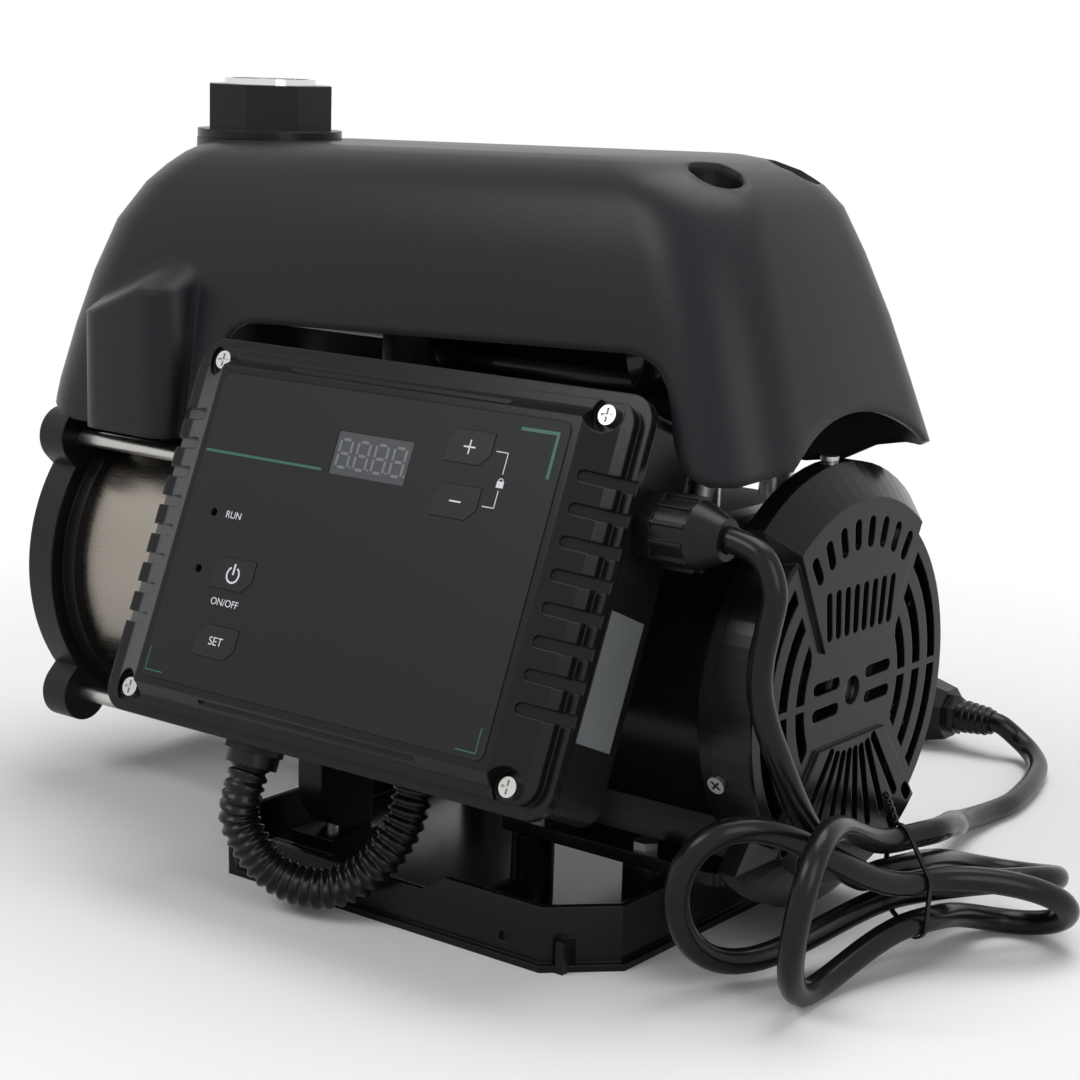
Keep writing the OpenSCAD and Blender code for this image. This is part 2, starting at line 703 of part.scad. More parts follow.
// A coil spring of square turns: each half turn is an upright slice of a tube, so it stays a simple solid
spring_wire = 1.2;
spring_turns = 4;
spring_edge_gap = 3;
spring_radius = valve_disc_radius - spring_edge_gap;
spring_bottom = valve_seat_height + valve_disc_thickness + slip;
spring_socket_depth = 2;
spring_top = port_neck_bottom + spring_socket_depth;
spring_steps = 8;
spring_sides = 6;

function helix_point(i) = let (a = 360 * i / spring_steps,
  rise = (spring_top - spring_bottom - spring_wire) * i / (spring_turns * spring_steps))
  [spring_radius * cos(a), spring_radius * sin(a), spring_bottom + spring_wire / 2 + rise];

// Tubes along a route: smoothing, even spacing, frames without twist, and the skin
function curve(a, b, c, d, t) = 0.5 * (2 * b + (c - a) * t + (2 * a - 5 * b + 4 * c - d) * t * t
  + (3 * b - a - 3 * c + d) * t * t * t);
function smooth(p, steps) = concat([for (i = [0 : len(p) - 2]) for (j = [0 : steps - 1])
  curve(p[max(i - 1, 0)], p[i], p[i + 1], p[min(i + 2, len(p) - 1)], j / steps)], [p[len(p) - 1]]);
function distances(q) = [for (i = 0, s = 0; i < len(q); i = i + 1, s = i < len(q) ? s + norm(q[i] - q[i - 1]) : s) s];
function even(q, count) = let (d = distances(q), total = d[len(d) - 1],
  tables = [for (axis = [0 : 2]) [for (i = [0 : len(q) - 1]) [d[i], q[i][axis]]]])
  [for (k = [0 : count]) [for (axis = [0 : 2]) lookup(total * k / count, tables[axis])]];
function unit(v) = v / norm(v);
function heading(q, i) = unit(q[min(i + 1, len(q) - 1)] - q[max(i - 1, 0)]);
function square_to(v, t) = unit(v - (v * t) * t);
function first_side(t) = square_to(abs(t[2]) < 0.8 ? [0, 0, 1] : [1, 0, 0], t);
function sides_along(q) = [for (i = 0, u = first_side(heading(q, 0)); i < len(q);
  i = i + 1, u = i < len(q) ? square_to(u, heading(q, i)) : u) u];
function ring_at(p, u, t, r, n) = let (v = cross(t, u)) [for (k = [0 : n - 1]) p + r * (cos(360 * k / n) * u
  + sin(360 * k / n) * v)];
function skin_points(q, radii, n) = let (u = sides_along(q))
  [for (i = [0 : len(q) - 1]) each ring_at(q[i], u[i], heading(q, i), radii[i], n)];
function band(a, b, n) = [for (k = [0 : n - 1]) each let (m = (k + 1) % n)
  [[a + k, b + k, b + m], [a + k, b + m, a + m]]];
function cap(a, n, turn) = [for (k = [1 : n - 2]) turn ? [a, a + k + 1, a + k] : [a, a + k, a + k + 1]];

module tube(q, radii, n) {
  last = len(q) - 1;
  polyhedron(points = skin_points(q, radii, n), faces = concat(cap(0, n, false), cap(last * n, n, true),
    [for (i = [0 : last - 1]) each band(i * n, (i + 1) * n, n)]));
}

module check_valve_spring() color(steel) at_riser(0)
  tube([for (i = [0 : spring_turns * spring_steps]) helix_point(i)],
    [for (i = [0 : spring_turns * spring_steps]) spring_wire / 2], spring_sides);

module pressure_sensor() color([0.75, 0.72, 0.6])
  translate([sensor_x, 0, manifold_z + riser_radius + 3 * over]) {
    cylinder(r = sensor_radius, h = sensor_radius * 0.8, $fn = 6);
    disc(sensor_radius * 0.7, sensor_height);
  }

tank_dome = 14;

module pressure_tank() color(black) translate([tank_x, 0, manifold_z]) rotate([0, 90, 0]) {
  intersection() {
    disc(tank_radius, tank_length);
    up(tank_length / 2) sphere(r = norm([tank_length / 2, tank_radius - tank_dome]), $fn = 96);
  }
  up(-riser_radius - tank_gap + tank_neck_radius)
    disc(tank_neck_radius, riser_radius + tank_gap + over);
}

// Cradle for the tank on top of the motor, with the two posts that the hood is screwed to
cradle_half_width = 34;
cradle_thickness = 10;
cradle_plate = 4;
cradle_x_shares = [0.2, 0.75];
hood_screw_x = 102;
hood_screw_y = 31.5;
hood_post_radius = 8;
hood_pocket_radius = 12;
hood_pocket_floor = 305;
hood_screw_radius = 2.2;

module at_hood_screws(z) for (side = [-1, 1]) translate([hood_screw_x, side * hood_screw_y, z]) children();

module tank_bracket() color([0.25, 0.25, 0.26]) difference() {
  union() {
    translate([tank_x, -cradle_half_width, shaft_height])
      cube([hood_screw_x + hood_post_radius - tank_x, 2 * cradle_half_width, motor_radius + cradle_plate]);
    for (s = cradle_x_shares) translate([tank_x + s * tank_length - cradle_thickness / 2, -cradle_half_width, shaft_height])
      cube([cradle_thickness, 2 * cradle_half_width, manifold_z - shaft_height - tank_radius / 2]);
    for (side = [-1, 1]) translate([hood_screw_x, side * (hood_screw_y - over), shaft_height])
      disc(hood_post_radius, hood_pocket_floor - hood_wall - shaft_height);
  }
  on_shaft(motor_x) disc(motor_radius + seat_gap, motor_length + over);
  translate([tank_x - over, 0, manifold_z]) rotate([0, 90, 0])
    disc(tank_radius + fit_gap, tank_length + tank_gap);
  at_hood_screws(hood_pocket_floor - insert_depth)
    disc(hood_screw_radius + slip, insert_depth + over);
}

// Hood, as shares of its height, half width, reach to each end and corner radius
hood_shares = [[0, 1, 1, 1, 0.82], [0.13, 0.972, 0.991, 0.971, 0.84], [0.34, 0.928, 0.963, 0.909, 0.86],
  [0.53, 0.884, 0.932, 0.852, 0.88], [0.72, 0.83, 0.89, 0.785, 0.9], [0.855, 0.773, 0.835, 0.733, 0.92],
  [0.917, 0.722, 0.801, 0.688, 0.94], [0.959, 0.659, 0.774, 0.635, 0.92], [0.986, 0.591, 0.75, 0.571, 0.9],
  [1, 0.511, 0.724, 0.494, 0.87]];
hood_rise = hood_top_height - hood_rim;
// Edge of the opening over the controller and of the lobes at the fan end: share of the reach, share of the rise
edge_start_shares = [[-1.2, -0.3], [-1.2, 0.13], [-1, 0.1], [-0.94, 0.04], [-0.86, 0.005]];
edge_end_shares = [[0.82, 0.116], [0.88, 0.12], [0.965, 0.163], [1.2, 0.24], [1.2, -0.3]];
front_edge_shares = [[-0.504, 0], [-0.504, 0.3], [-0.498, 0.345], [-0.482, 0.38], [-0.46, 0.4], [-0.43, 0.407], [0.55, 0.457], [0.6, 0.45],
  [0.645, 0.425], [0.678, 0.375], [0.698, 0.31], [0.714, 0.23], [0.735, 0.175], [0.77, 0.135]];
back_edge_shares = [[0.5, 0.005], [0.62, 0.03], [0.72, 0.09]];
arch_radius = 98;
arch_top = 234;
// Reach of the bulge past the outlet, to the water end and to the fan end
bulge_reach = [36.4, 27.6];
bulge_fall = 14;
bulge_depth = 99;
bulge_corner = 16;
bulge_shoulder_height = 264;
bulge_peak_height = 288;

function hood_x(s) = s < 0 ? s * hood_left_reach : s * hood_right_reach;
function hood_ring(s, inset) = rounded_ring(inset - s[2] * hood_left_reach, s[3] * hood_right_reach - inset,
  s[1] * hood_half_width - inset, s[4] * hood_corner_radius - inset,
  hood_rim + s[0] * hood_rise - (s[0] > 0.5 ? inset : 0) - (s[0] == 0 ? inset : 0),
  s[0] * hood_fall / outlet_reach * 0.7);

module hood_block(inset) loft([for (s = hood_shares) hood_ring(s, inset)]);

module bulge_block(inset) hull() {
  for (side = [-1, 1]) translate([riser_x + side * (bulge_reach[(side + 1) / 2] - bulge_corner), bulge_corner - bulge_depth, 0]) {
    drop = side < 0 ? bulge_fall : 0;
    up(hood_rim - inset)
      cylinder(r = bulge_corner - inset, h = bulge_shoulder_height - hood_rim - drop, $fn = shell_fn);
    translate([0, hood_half_width / 2, hood_rim - inset])
      cylinder(r = bulge_corner - inset, h = bulge_peak_height - hood_rim - drop, $fn = shell_fn);
  }
}

module edge_cut(shares) rotate([90, 0, 0]) linear_extrude(2 * hood_half_width)
  polygon([for (p = concat(edge_start_shares, shares, edge_end_shares)) [hood_x(p[0]), hood_rim + p[1] * hood_rise]]);

module hood() color(charcoal) difference() {
  union() {
    hood_block(0);
    bulge_block(0);
    at_riser(crown_z - 2 * hood_wall) disc(flange_radius + fit_gap, 2 * hood_wall);
  }
  difference() {
    union() {
      hood_block(hood_wall);
      bulge_block(hood_wall);
    }
    at_hood_screws(hood_pocket_floor - hood_wall)
      cylinder(r = hood_pocket_radius + hood_wall / 2, h = hood_rise, $fn = shell_fn);
  }
  at_hood_screws(0) {
    up(hood_pocket_floor) cylinder(r = hood_pocket_radius, h = hood_rise, $fn = shell_fn);
    up(hood_rim) cylinder(r = hood_screw_radius + fit_gap, h = hood_rise, $fn = 16);
  }
  edge_cut(front_edge_shares);
  translate([0, 2 * hood_half_width, 0]) edge_cut(back_edge_shares);
  translate([hood_right_reach / 2, 0, arch_top - arch_radius]) rotate([0, 90, 0])
    cylinder(r = arch_radius, h = hood_right_reach, $fn = 96);
  at_riser(crown_z) disc(flange_radius + fit_gap, hood_rise);
  at_riser(manifold_z) disc(port_neck_radius + fit_gap, hood_rise);
}

module hood_screws() color(steel)
  at_hood_screws(hood_pocket_floor) {
    disc(2 * hood_screw_radius, hood_screw_radius);
    up(-insert_depth / 2) disc(hood_screw_radius, insert_depth / 2 + over / 2);
  }

// Base tray: an octagonal floor with an inset wall, bolt pillars and pads for the bracket foot
tray_floor = 3;
tray_lip = 3;
tray_ramp_x = [24, 36];
tray_pillar_radius = 10;
tray_rib = 4;
pad_half_length = 14;
pad_half_width = 16;
pad_bolt_depth = 14;
tray_block_width = 12;
tray_block_x_share = 0.6;

module tray_shape(inset) {
  x = base_length / 2 - inset;
  y = base_width / 2 - inset;
  cut = tray_corner_cut - inset * tan(22.5);
  polygon([[x, cut - y], [x, y - cut], [x - cut, y], [cut - x, y],
    [-x, y - cut], [-x, cut - y], [cut - x, -y], [x - cut, -y]]);
}

module tray_wall_top() rotate([90, 0, 0]) up(-base_width) linear_extrude(2 * base_width)
  polygon([[-base_length, tray_wall_height], [tray_ramp_x[0], tray_wall_height], [tray_ramp_x[1], tray_high_wall],
    [base_length, tray_high_wall], [base_length, 2 * tray_high_wall], [-base_length, 2 * tray_high_wall]]);

module base_tray() color(black) difference() {
  union() {
    linear_extrude(tray_floor) tray_shape(0);
    difference() {
      linear_extrude(tray_high_wall) difference() {
        tray_shape(tray_lip);
        tray_shape(tray_lip + tray_wall);
      }
      tray_wall_top();
      for (side = [-1, 1]) translate([side * base_length * tray_block_x_share / 2, 0, tray_wall_height / 2])
        cube([tray_block_width / 2, 2 * base_width, tray_rib], center = true);
    }
    for (x = foot_bolt_x, side = [-1, 1]) translate([x, side * foot_bolt_y, 0]) {
      disc(tray_pillar_radius, foot_height);
      translate([-tray_rib / 2, side > 0 ? 0 : foot_bolt_y - base_width / 2 + tray_lip + tray_wall / 2, 0])
        cube([tray_rib, base_width / 2 - tray_lip - tray_wall / 2 - foot_bolt_y, tray_wall_height * 0.7]);
    }
    for (side = [-1, 1]) translate([discharge_x - pad_half_length, side * bracket_bolt_place - pad_half_width, 0])
      cube([2 * pad_half_length, 2 * pad_half_width, bracket_foot_height]);
    for (side = [-1, 1]) translate([side * base_length * tray_block_x_share / 2 - tray_block_width / 2,
      tray_lip + tray_wall / 2 - base_width / 2, 0]) cube([tray_block_width, tray_block_width, tray_wall_height * 0.85]);
  }
  at_foot_bolts(tray_floor)
    disc(foot_bolt_radius + seat_gap, foot_height);
  at_pads(-over) {
    disc(pad_bolt_radius + seat_gap, bracket_foot_height + 2 * over);
    disc(2 * pad_bolt_radius + seat_gap, bracket_foot_height / 2 + over);
  }
}

module base_bolts() color(steel) {
  at_foot_bolts(foot_height + foot_thickness)
    hexagon_bolt(foot_bolt_radius, foot_height * 0.8, foot_bolt_head, foot_bolt_radius);
  at_pads(bracket_foot_height / 2) rotate([180, 0, 0])
    hexagon_bolt(pad_bolt_radius, bracket_foot_height / 2 + pad_bolt_depth, 2 * pad_bolt_radius, pad_bolt_radius);
}

// Controller, drawn flat: x runs along the lid, y up the lid and z out of it, with zero at the lid screws
controller_x = -8.8;
controller_gap = 23.5;
controller_drop = 1.6;
skirt_bottom = -8;
gasket_thickness = 1;
housing_top = skirt_bottom - gasket_thickness;
housing_inset = [3.5, 3];
housing_half_width = lid_half_width - housing_inset[0];
housing_half_height = lid_half_height - housing_inset[1];
housing_corner_radius = lid_corner_radius - housing_wall;
lid_screw_inset = [18.75, 11.2];
lid_screw_x = lid_half_width - lid_screw_inset[0];
lid_screw_y = lid_half_height - lid_screw_inset[1];
lid_screw_radius = 2;
lid_screw_head = 4.3;
lid_screw_recess = 8;
column_radius = 6;
pillar_radius = 4;
board_half_width = 100;
board_half_height = 65;
board_thickness = 1.6;
board_top = -14;
board_hole_inset = 10;
pillar_x = board_half_width - board_hole_inset;
pillar_y = board_half_height - board_hole_inset;
gland_place = [40, -27];
conduit_exit_x = -47;
conduit_exit_z = -22;
boss_pocket_margin = 6;
boss_pocket_wall = 2.4;

module on_controller() translate([controller_x, 0, shaft_height]) rotate([90 - face_tilt, 0, 0])
  translate([0, -controller_drop, motor_radius + controller_gap + housing_depth]) children();

module round_plate(half_width, half_height, radius, bottom, top) up(bottom)
  linear_extrude(top - bottom) offset(r = radius, $fn = shell_fn)
    square([2 * (half_width - radius), 2 * (half_height - radius)], center = true);

module housing_plate(inset, bottom, top)
  round_plate(housing_half_width - inset, housing_half_height - inset, housing_corner_radius - inset, bottom, top);

module at_lid_screws() for (x = [-1, 1], y = [-1, 1]) translate([x * lid_screw_x, y * lid_screw_y, 0]) children();

// Pocket in the back of the housing for the upper front boss of the bracket
boss_angle = 45 - face_tilt;
boss_reach = tie_rod_circle * cos(boss_angle) + bracket_boss_radius;
boss_pocket_y = tie_rod_circle * sin(boss_angle) + controller_drop;
boss_pocket_depth = max(0, boss_reach + boss_pocket_margin - motor_radius - controller_gap);
boss_pocket_half = bracket_boss_radius + boss_pocket_margin / 2;
boss_pocket_left = bracket_x - boss_pocket_margin - controller_x;
boss_pocket_right = motor_x + boss_pocket_margin / 2 - controller_x;

module boss_pocket(margin, bottom) translate([boss_pocket_left - margin, boss_pocket_y - boss_pocket_half - margin, bottom - housing_depth])
  cube([boss_pocket_right - boss_pocket_left + 2 * margin, 2 * (boss_pocket_half + margin), boss_pocket_depth - bottom + margin]);

module controller_housing() color(charcoal) on_controller() difference() {
  union() {
    difference() {
      housing_plate(0, -housing_depth, housing_top);
      housing_plate(housing_wall, housing_wall - housing_depth, housing_top + over);
    }
    at_lid_screws() up(housing_wall / 2 - housing_depth)
      disc(column_radius, housing_depth - housing_wall / 2 + housing_top);
    for (x = [-1, 1], y = [-1, 1]) translate([x * pillar_x, y * pillar_y, housing_wall / 2 - housing_depth])
      disc(pillar_radius, housing_depth - housing_wall / 2 + board_top - board_thickness);
    if (boss_pocket_depth > 0) boss_pocket(boss_pocket_wall, 0);
  }
  if (boss_pocket_depth > 0) boss_pocket(0, -over);
  at_lid_screws() up(-housing_depth / 2) disc(lid_screw_radius + seat_gap, housing_depth);
  translate([housing_half_width - 2 * housing_wall, gland_place[0], gland_place[1]]) rotate([0, 90, 0])
    disc(cord_diameter + seat_gap, 3 * housing_wall);
  translate([conduit_exit_x, 2 * housing_wall - housing_half_height, conduit_exit_z]) rotate([90, 0, 0])
    disc(conduit_diameter / 2 + seat_gap, 3 * housing_wall);
}

module lid_gasket() color(black) on_controller() difference() {
  housing_plate(0, housing_top, skirt_bottom);
  housing_plate(housing_wall, housing_top - over, skirt_bottom + over);
  at_lid_screws() up(housing_top - over) disc(column_radius + fit_gap, gasket_thickness + 2 * over);
}

// Lid: skirt, step and a body with bevelled sides, cut by the cooling slots at both ends
lid_step_inset = 5;
lid_body_inset = [10.5, 9];
lid_skirt_top = -3;
lid_step_top = 1.5;
lid_bevel_inset = [26, 14.5];
lid_top_thickness = 3.4;
lid_slot_height = 5.2;
lid_slot_depth = 2.5;
lid_slot_inset = 22;
lid_slot_span_share = 0.546;
lid_slot_centre_share = 0.026;
film_thickness = 0.6;
film_proud = 0.3;
film_corner_radius = 4;
lid_bevel_angle = atan((film_level - lid_step_top) / (lid_bevel_inset[0] - lid_body_inset[0]));
window_box = [-22.5, 33.4, 42.5, 19.4];
key_cut = 5;
key_proud = 0.6;
key_flange = 1.4;
key_flange_thickness = 1.4;
key_stem_radius = 2.2;
key_switch_gap = 0.1;
key_power_place = [-59.9, -18.7];
key_set_place = [-59.1, -49.5];
key_plus_place = [49.8, 54.6];
key_minus_place = [49.9, 30.9];
key_places = [key_power_place, key_set_place, key_plus_place, key_minus_place];
led_places = [[-81.7, 7], [-81.5, -19.2]];
led_radius = 1.8;
lid_recess_half_length = 62;
lid_recess_width = 3;
plate_bottom = film_level - film_thickness + film_proud - lid_top_thickness;
switch_top = plate_bottom - key_flange_thickness - 4 * key_travel;

module key_shape(margin) polygon([
  [-key_width / 2 - margin, -key_height / 2 - margin],
  [key_width / 2 - key_cut + margin / 2, -key_height / 2 - margin],
  [key_width / 2 + margin, -key_height / 2 + key_cut - margin / 2],
  [key_width / 2 + margin, key_height / 2 + margin],
  [-key_width / 2 + key_cut - margin / 2, key_height / 2 + margin],
  [-key_width / 2 - margin, key_height / 2 - key_cut + margin / 2]]);

module panel_holes(margin) {
  for (place = key_places) translate(place) key_shape(margin);
  for (place = led_places) translate(place) circle(r = led_radius + margin, $fn = 24);
  translate([window_box[0] - margin, window_box[1] - margin])
    square([window_box[2] + 2 * margin, window_box[3] + 2 * margin]);
}

module lid_profile(half, body_inset, bevel_inset, length) linear_extrude(length) polygon([
  [body_inset - half, lid_skirt_top], [half - body_inset, lid_skirt_top], [half - body_inset, lid_step_top],
  [half - bevel_inset, film_level], [bevel_inset - half, film_level], [body_inset - half, lid_step_top]]);

module lid_body() intersection() {
  translate([0, lid_half_height, 0]) rotate([90, 0, 0])
    lid_profile(lid_half_width, lid_body_inset[0], lid_bevel_inset[0], 2 * lid_half_height);
  translate([-lid_half_width, 0, 0]) rotate([90, 0, 90])
    lid_profile(lid_half_height, lid_body_inset[1], lid_bevel_inset[1], 2 * lid_half_width);
}

module cooling_slots() for (i = [0 : lid_slot_count - 1]) {
  y = 2 * lid_half_height * (lid_slot_centre_share / 2 + lid_slot_span_share * (i / (lid_slot_count - 1) - 0.5));
  translate([lid_half_width - lid_bevel_inset[0], y, film_level]) rotate([0, lid_bevel_angle, 0])
    translate([lid_bevel_inset[0] - lid_slot_inset + lid_slot_height / 2, 0, -lid_slot_depth]) {
      cylinder(r = lid_slot_height / 2, h = 2 * film_level, $fn = 12);
      translate([0, -lid_slot_height / 2, 0]) cube([lid_half_width, lid_slot_height, 2 * film_level]);
    }
}

module controller_lid() color(charcoal) on_controller() difference() {
  union() {
    difference() {
      union() {
        round_plate(lid_half_width, lid_half_height, lid_corner_radius, skirt_bottom, lid_skirt_top);
        round_plate(lid_half_width - lid_step_inset, lid_half_height - lid_step_inset, lid_corner_radius - lid_step_inset / 2,
          lid_skirt_top, lid_step_top);
        lid_body();
      }
      round_plate(lid_half_width - lid_slot_inset - lid_slot_height, lid_half_height - lid_bevel_inset[1] - housing_wall,
        lid_corner_radius, skirt_bottom - over, plate_bottom);
      housing_plate(housing_wall, skirt_bottom - over, skirt_bottom + over);
    }
    at_lid_screws() up(skirt_bottom - gasket_thickness) disc(column_radius, -skirt_bottom);
  }
  cooling_slots();
  rotate(180) mirror([0, 1, 0]) cooling_slots();
  round_plate(film_half_width + seat_gap, film_half_height + seat_gap, film_corner_radius,
    film_level + film_proud - film_thickness, film_level + over);
  up(skirt_bottom) linear_extrude(2 * film_level - skirt_bottom) panel_holes(seat_gap);
  at_lid_screws() up(-over) disc(lid_screw_recess, 2 * film_level);
  at_lid_screws() up(2 * skirt_bottom) disc(lid_screw_radius + seat_gap, 3 * film_level);
  for (side = [-1, 1]) translate([-lid_recess_half_length, side * (lid_half_height - (lid_body_inset[1] + lid_bevel_inset[1]) / 2)
    - lid_recess_width / 2, film_level / 2]) cube([2 * lid_recess_half_length, lid_recess_width, film_level]);
}

module lid_screws() color(steel) on_controller() at_lid_screws() difference() {
  up(-over) union() {
    disc(lid_screw_head, 3 * over);
    up(-housing_depth / 3) disc(lid_screw_radius, housing_depth / 3 + over);
  }
  for (a = [0, 90]) up(2 * over) rotate(a)
    cube([1.4 * lid_screw_head, lid_screw_head / 4, 2 * over], center = true);
}

module panel_overlay() color([0.16, 0.17, 0.18]) on_controller() difference() {
  round_plate(film_half_width, film_half_height, film_corner_radius, film_level + film_proud - film_thickness,
    film_level + film_proud);
  linear_extrude(2 * film_level) panel_holes(seat_gap);
}

module display_window() color(black) on_controller()
  translate([window_box[0], window_box[1], plate_bottom]) cube([window_box[2], window_box[3], film_level - plate_bottom]);

module key_at(place) color([0.2, 0.2, 0.21]) on_controller() translate([place[0], place[1], 0]) {
  up(plate_bottom - seat_gap) linear_extrude(film_level + key_proud - plate_bottom + seat_gap) key_shape(-seat_gap);
  up(plate_bottom - seat_gap - key_flange_thickness) linear_extrude(key_flange_thickness) key_shape(key_flange);
  up(switch_top + key_travel + key_switch_gap)
    disc(key_stem_radius, plate_bottom - seat_gap - switch_top - key_travel - key_switch_gap - over / 2);
}

module key_power() key_at(key_power_place);
module key_set() key_at(key_set_place);
module key_plus() key_at(key_plus_place);
module key_minus() key_at(key_minus_place);

module status_leds() color([0.25, 0.7, 0.3]) on_controller() for (place = led_places)
  translate([place[0], place[1], board_top]) {
    disc(led_radius * 0.6, plate_bottom - board_top);
    up(plate_bottom - led_radius) cylinder(r = led_radius, h = film_level + film_proud - plate_bottom + led_radius, $fn = 24);
  }

module circuit_board() color([0.08, 0.3, 0.14]) on_controller() {
  up(board_top - board_thickness) linear_extrude(board_thickness)
    square([2 * board_half_width, 2 * board_half_height], center = true);
  for (place = key_places) translate([place[0], place[1], board_top]) {
    disc(2 * key_stem_radius, (switch_top - board_top) * 0.8);
    disc(key_stem_radius, switch_top - board_top);
  }
  translate([window_box[0] + window_box[2] / 2, window_box[1] + window_box[3] / 2, (board_top + plate_bottom - seat_gap) / 2])
    cube([window_box[2] * 0.9, window_box[3] * 0.9, plate_bottom - seat_gap - board_top], center = true);
}

hanger_x = [38.8, 93.8];
hanger_width = 20;
hanger_height = 40;

module controller_bracket() color(black) difference() {
  on_controller() for (x = hanger_x)
    translate([x - hanger_width / 2, controller_drop - hanger_height / 2, -housing_depth - controller_gap - motor_radius / 3])
      cube([hanger_width, hanger_height, controller_gap + motor_radius / 3]);
  on_shaft(motor_x) disc(motor_radius + seat_gap, motor_length);
}

// Cable gland on the right side of the housing: drawn along its own axis, which leaves the wall
gland_body_length = 9;
gland_nut_length = 16;
gland_dome_length = 12.8;
gland_rib = 1.6;
gland_rib_count = 12;
cord_seat_depth = 7;

module on_gland() on_controller() translate([housing_half_width, gland_place[0], gland_place[1]]) rotate([0, 90, 0]) children();

module gland_body() color(black) on_gland() difference() {
  union() {
    cylinder(r = gland_radius, h = gland_body_length, $fn = 6);
    up(-2 * housing_wall) disc(cord_diameter, 2 * housing_wall + over);
    up(-2 * housing_wall) cylinder(r = gland_radius - gland_rib, h = housing_wall - seat_gap, $fn = 6);
    disc(cord_diameter, gland_body_length + gland_nut_length / 2);
  }
  up(-3 * housing_wall) disc(cord_diameter / 2 + fit_gap, gland_body_length + gland_nut_length + 3 * housing_wall);
}

module gland_nut() color(black) on_gland() up(gland_body_length + seat_gap) difference() {
  union() {
    disc(gland_radius - gland_rib, gland_nut_length);
    for (i = [0 : gland_rib_count - 1]) rotate(i * 360 / gland_rib_count)
      translate([gland_radius - 2 * gland_rib, -gland_rib / 2, 0]) cube([2 * gland_rib, gland_rib, gland_nut_length]);
    up(gland_nut_length) cylinder(r1 = gland_radius - gland_rib, r2 = cord_diameter * 0.8, h = gland_dome_length);
  }
  up(-over) disc(cord_diameter + seat_gap, gland_nut_length / 2 + over);
  up(gland_nut_length + gland_dome_length - cord_seat_depth)
    disc(cord_diameter / 2 + seat_gap, cord_seat_depth + over);
}

// Ribbed conduit from the bottom of the controller to the front of the motor
fitting_radius = 14;
fitting_length = 12;
fitting_seat_depth = 8;
motor_fitting_reach = 34;
fitting_direction = [0, -0.927, -0.375];
motor_fitting_x = 10;
conduit_root_share = 0.82;
conduit_bore_share = 0.66;
conduit_sides = 8;
conduit_start = [controller_x + conduit_exit_x, 0, shaft_height]
  + (motor_radius + controller_gap + housing_depth + conduit_exit_z) * [0, -cos(face_tilt), sin(face_tilt)]
  - (controller_drop + housing_half_height + fitting_length - fitting_seat_depth) * [0, sin(face_tilt), cos(face_tilt)];
conduit_first = [0, -sin(face_tilt), -cos(face_tilt)];
conduit_end = [motor_fitting_x, 0, shaft_height] + (motor_radius + motor_fitting_reach - fitting_seat_depth) * fitting_direction;
// Middle of the conduit: along the shaft, outward from the front edge of the tray, and up
conduit_middle = [[-57, 27, 39], [-42, 23, 20], [-20, 16, 14.5], [-2, 5, 23], [8, -7, 43]];
conduit_route = concat([for (s = [0, 0.5, 1]) conduit_start + s * conduit_diameter * conduit_first],
  [for (p = conduit_middle) [p[0], -base_width / 2 - p[1], p[2]]],
  [for (s = [1, 0.5, 0]) conduit_end + s * conduit_diameter * fitting_direction]);
conduit_smooth = smooth(conduit_route, 16);
conduit_travel = distances(conduit_smooth);
conduit_ribs = round(conduit_travel[len(conduit_travel) - 1] / conduit_pitch);
conduit_line = even(conduit_smooth, 2 * conduit_ribs);

module conduit() color(black) {
  n = conduit_sides;
  last = len(conduit_line) - 1;
  outer = [for (i = [0 : last]) conduit_diameter / 2 * (i % 2 == 1 ? 1 : conduit_root_share)];
  inner = [for (i = [0 : last]) conduit_diameter / 2 * conduit_bore_share];
  back = (last + 1) * n;
  polyhedron(points = concat(skin_points(conduit_line, outer, n), skin_points(conduit_line, inner, n)),
    faces = concat([for (i = [0 : last - 1]) each band(i * n, (i + 1) * n, n)],
      [for (i = [0 : last - 1]) each band(back + (i + 1) * n, back + i * n, n)],
      band(back, 0, n), band(last * n, back + last * n, n)));
}

module conduit_sleeve(reach) difference() {
  union() {
    cylinder(r = fitting_radius, h = reach - fitting_length / 2, $fn = 6);
    disc(fitting_radius - 2 * over, reach);
  }
  up(reach - fitting_seat_depth) disc(conduit_diameter / 2 + seat_gap, fitting_seat_depth + over);
  up(-over) disc(conduit_diameter / 3, reach);
}

module conduit_fittings() color(black) {
  on_controller() translate([conduit_exit_x, -housing_half_height, conduit_exit_z]) rotate([90, 0, 0])
    conduit_sleeve(fitting_length);
  difference() {
    translate([motor_fitting_x, 0, shaft_height]) rotate([90 + asin(-fitting_direction[2]), 0, 0])
      up(motor_radius - motor_wall) conduit_sleeve(motor_fitting_reach + motor_wall);
    on_shaft(motor_x) disc(motor_radius + seat_gap, motor_length);
  }
}

conduit_screw_x = [-68, -28];

module conduit_screws() color(steel) on_controller() for (x = conduit_screw_x)
  translate([x, -housing_half_height, conduit_exit_z]) rotate([90, 0, 0]) difference() {
    disc(2 * lid_screw_radius, 3 * over);
    up(3 * over) cube([4 * lid_screw_radius, lid_screw_head / 4, 2 * over], center = true);
  }

// Mains lead. Its points and the sizes of its hank are in millimetres, in the frame of the part
cord_radius = cord_diameter / 2;
tube_sides = 8;
cord_ring_spacing = 2.5 * cord_diameter;
hank_sides = 6;
hank_rings = 24;
hank_centre = [202, -10, 35.2];
hank_bearing = 16.5;
// Where the cord crosses the tie, sideways and upward from its centre
hank_slots = [[-7, 6], [-7, -6.5], [7, 4], [6, -14.5], [-6, 19.5]];
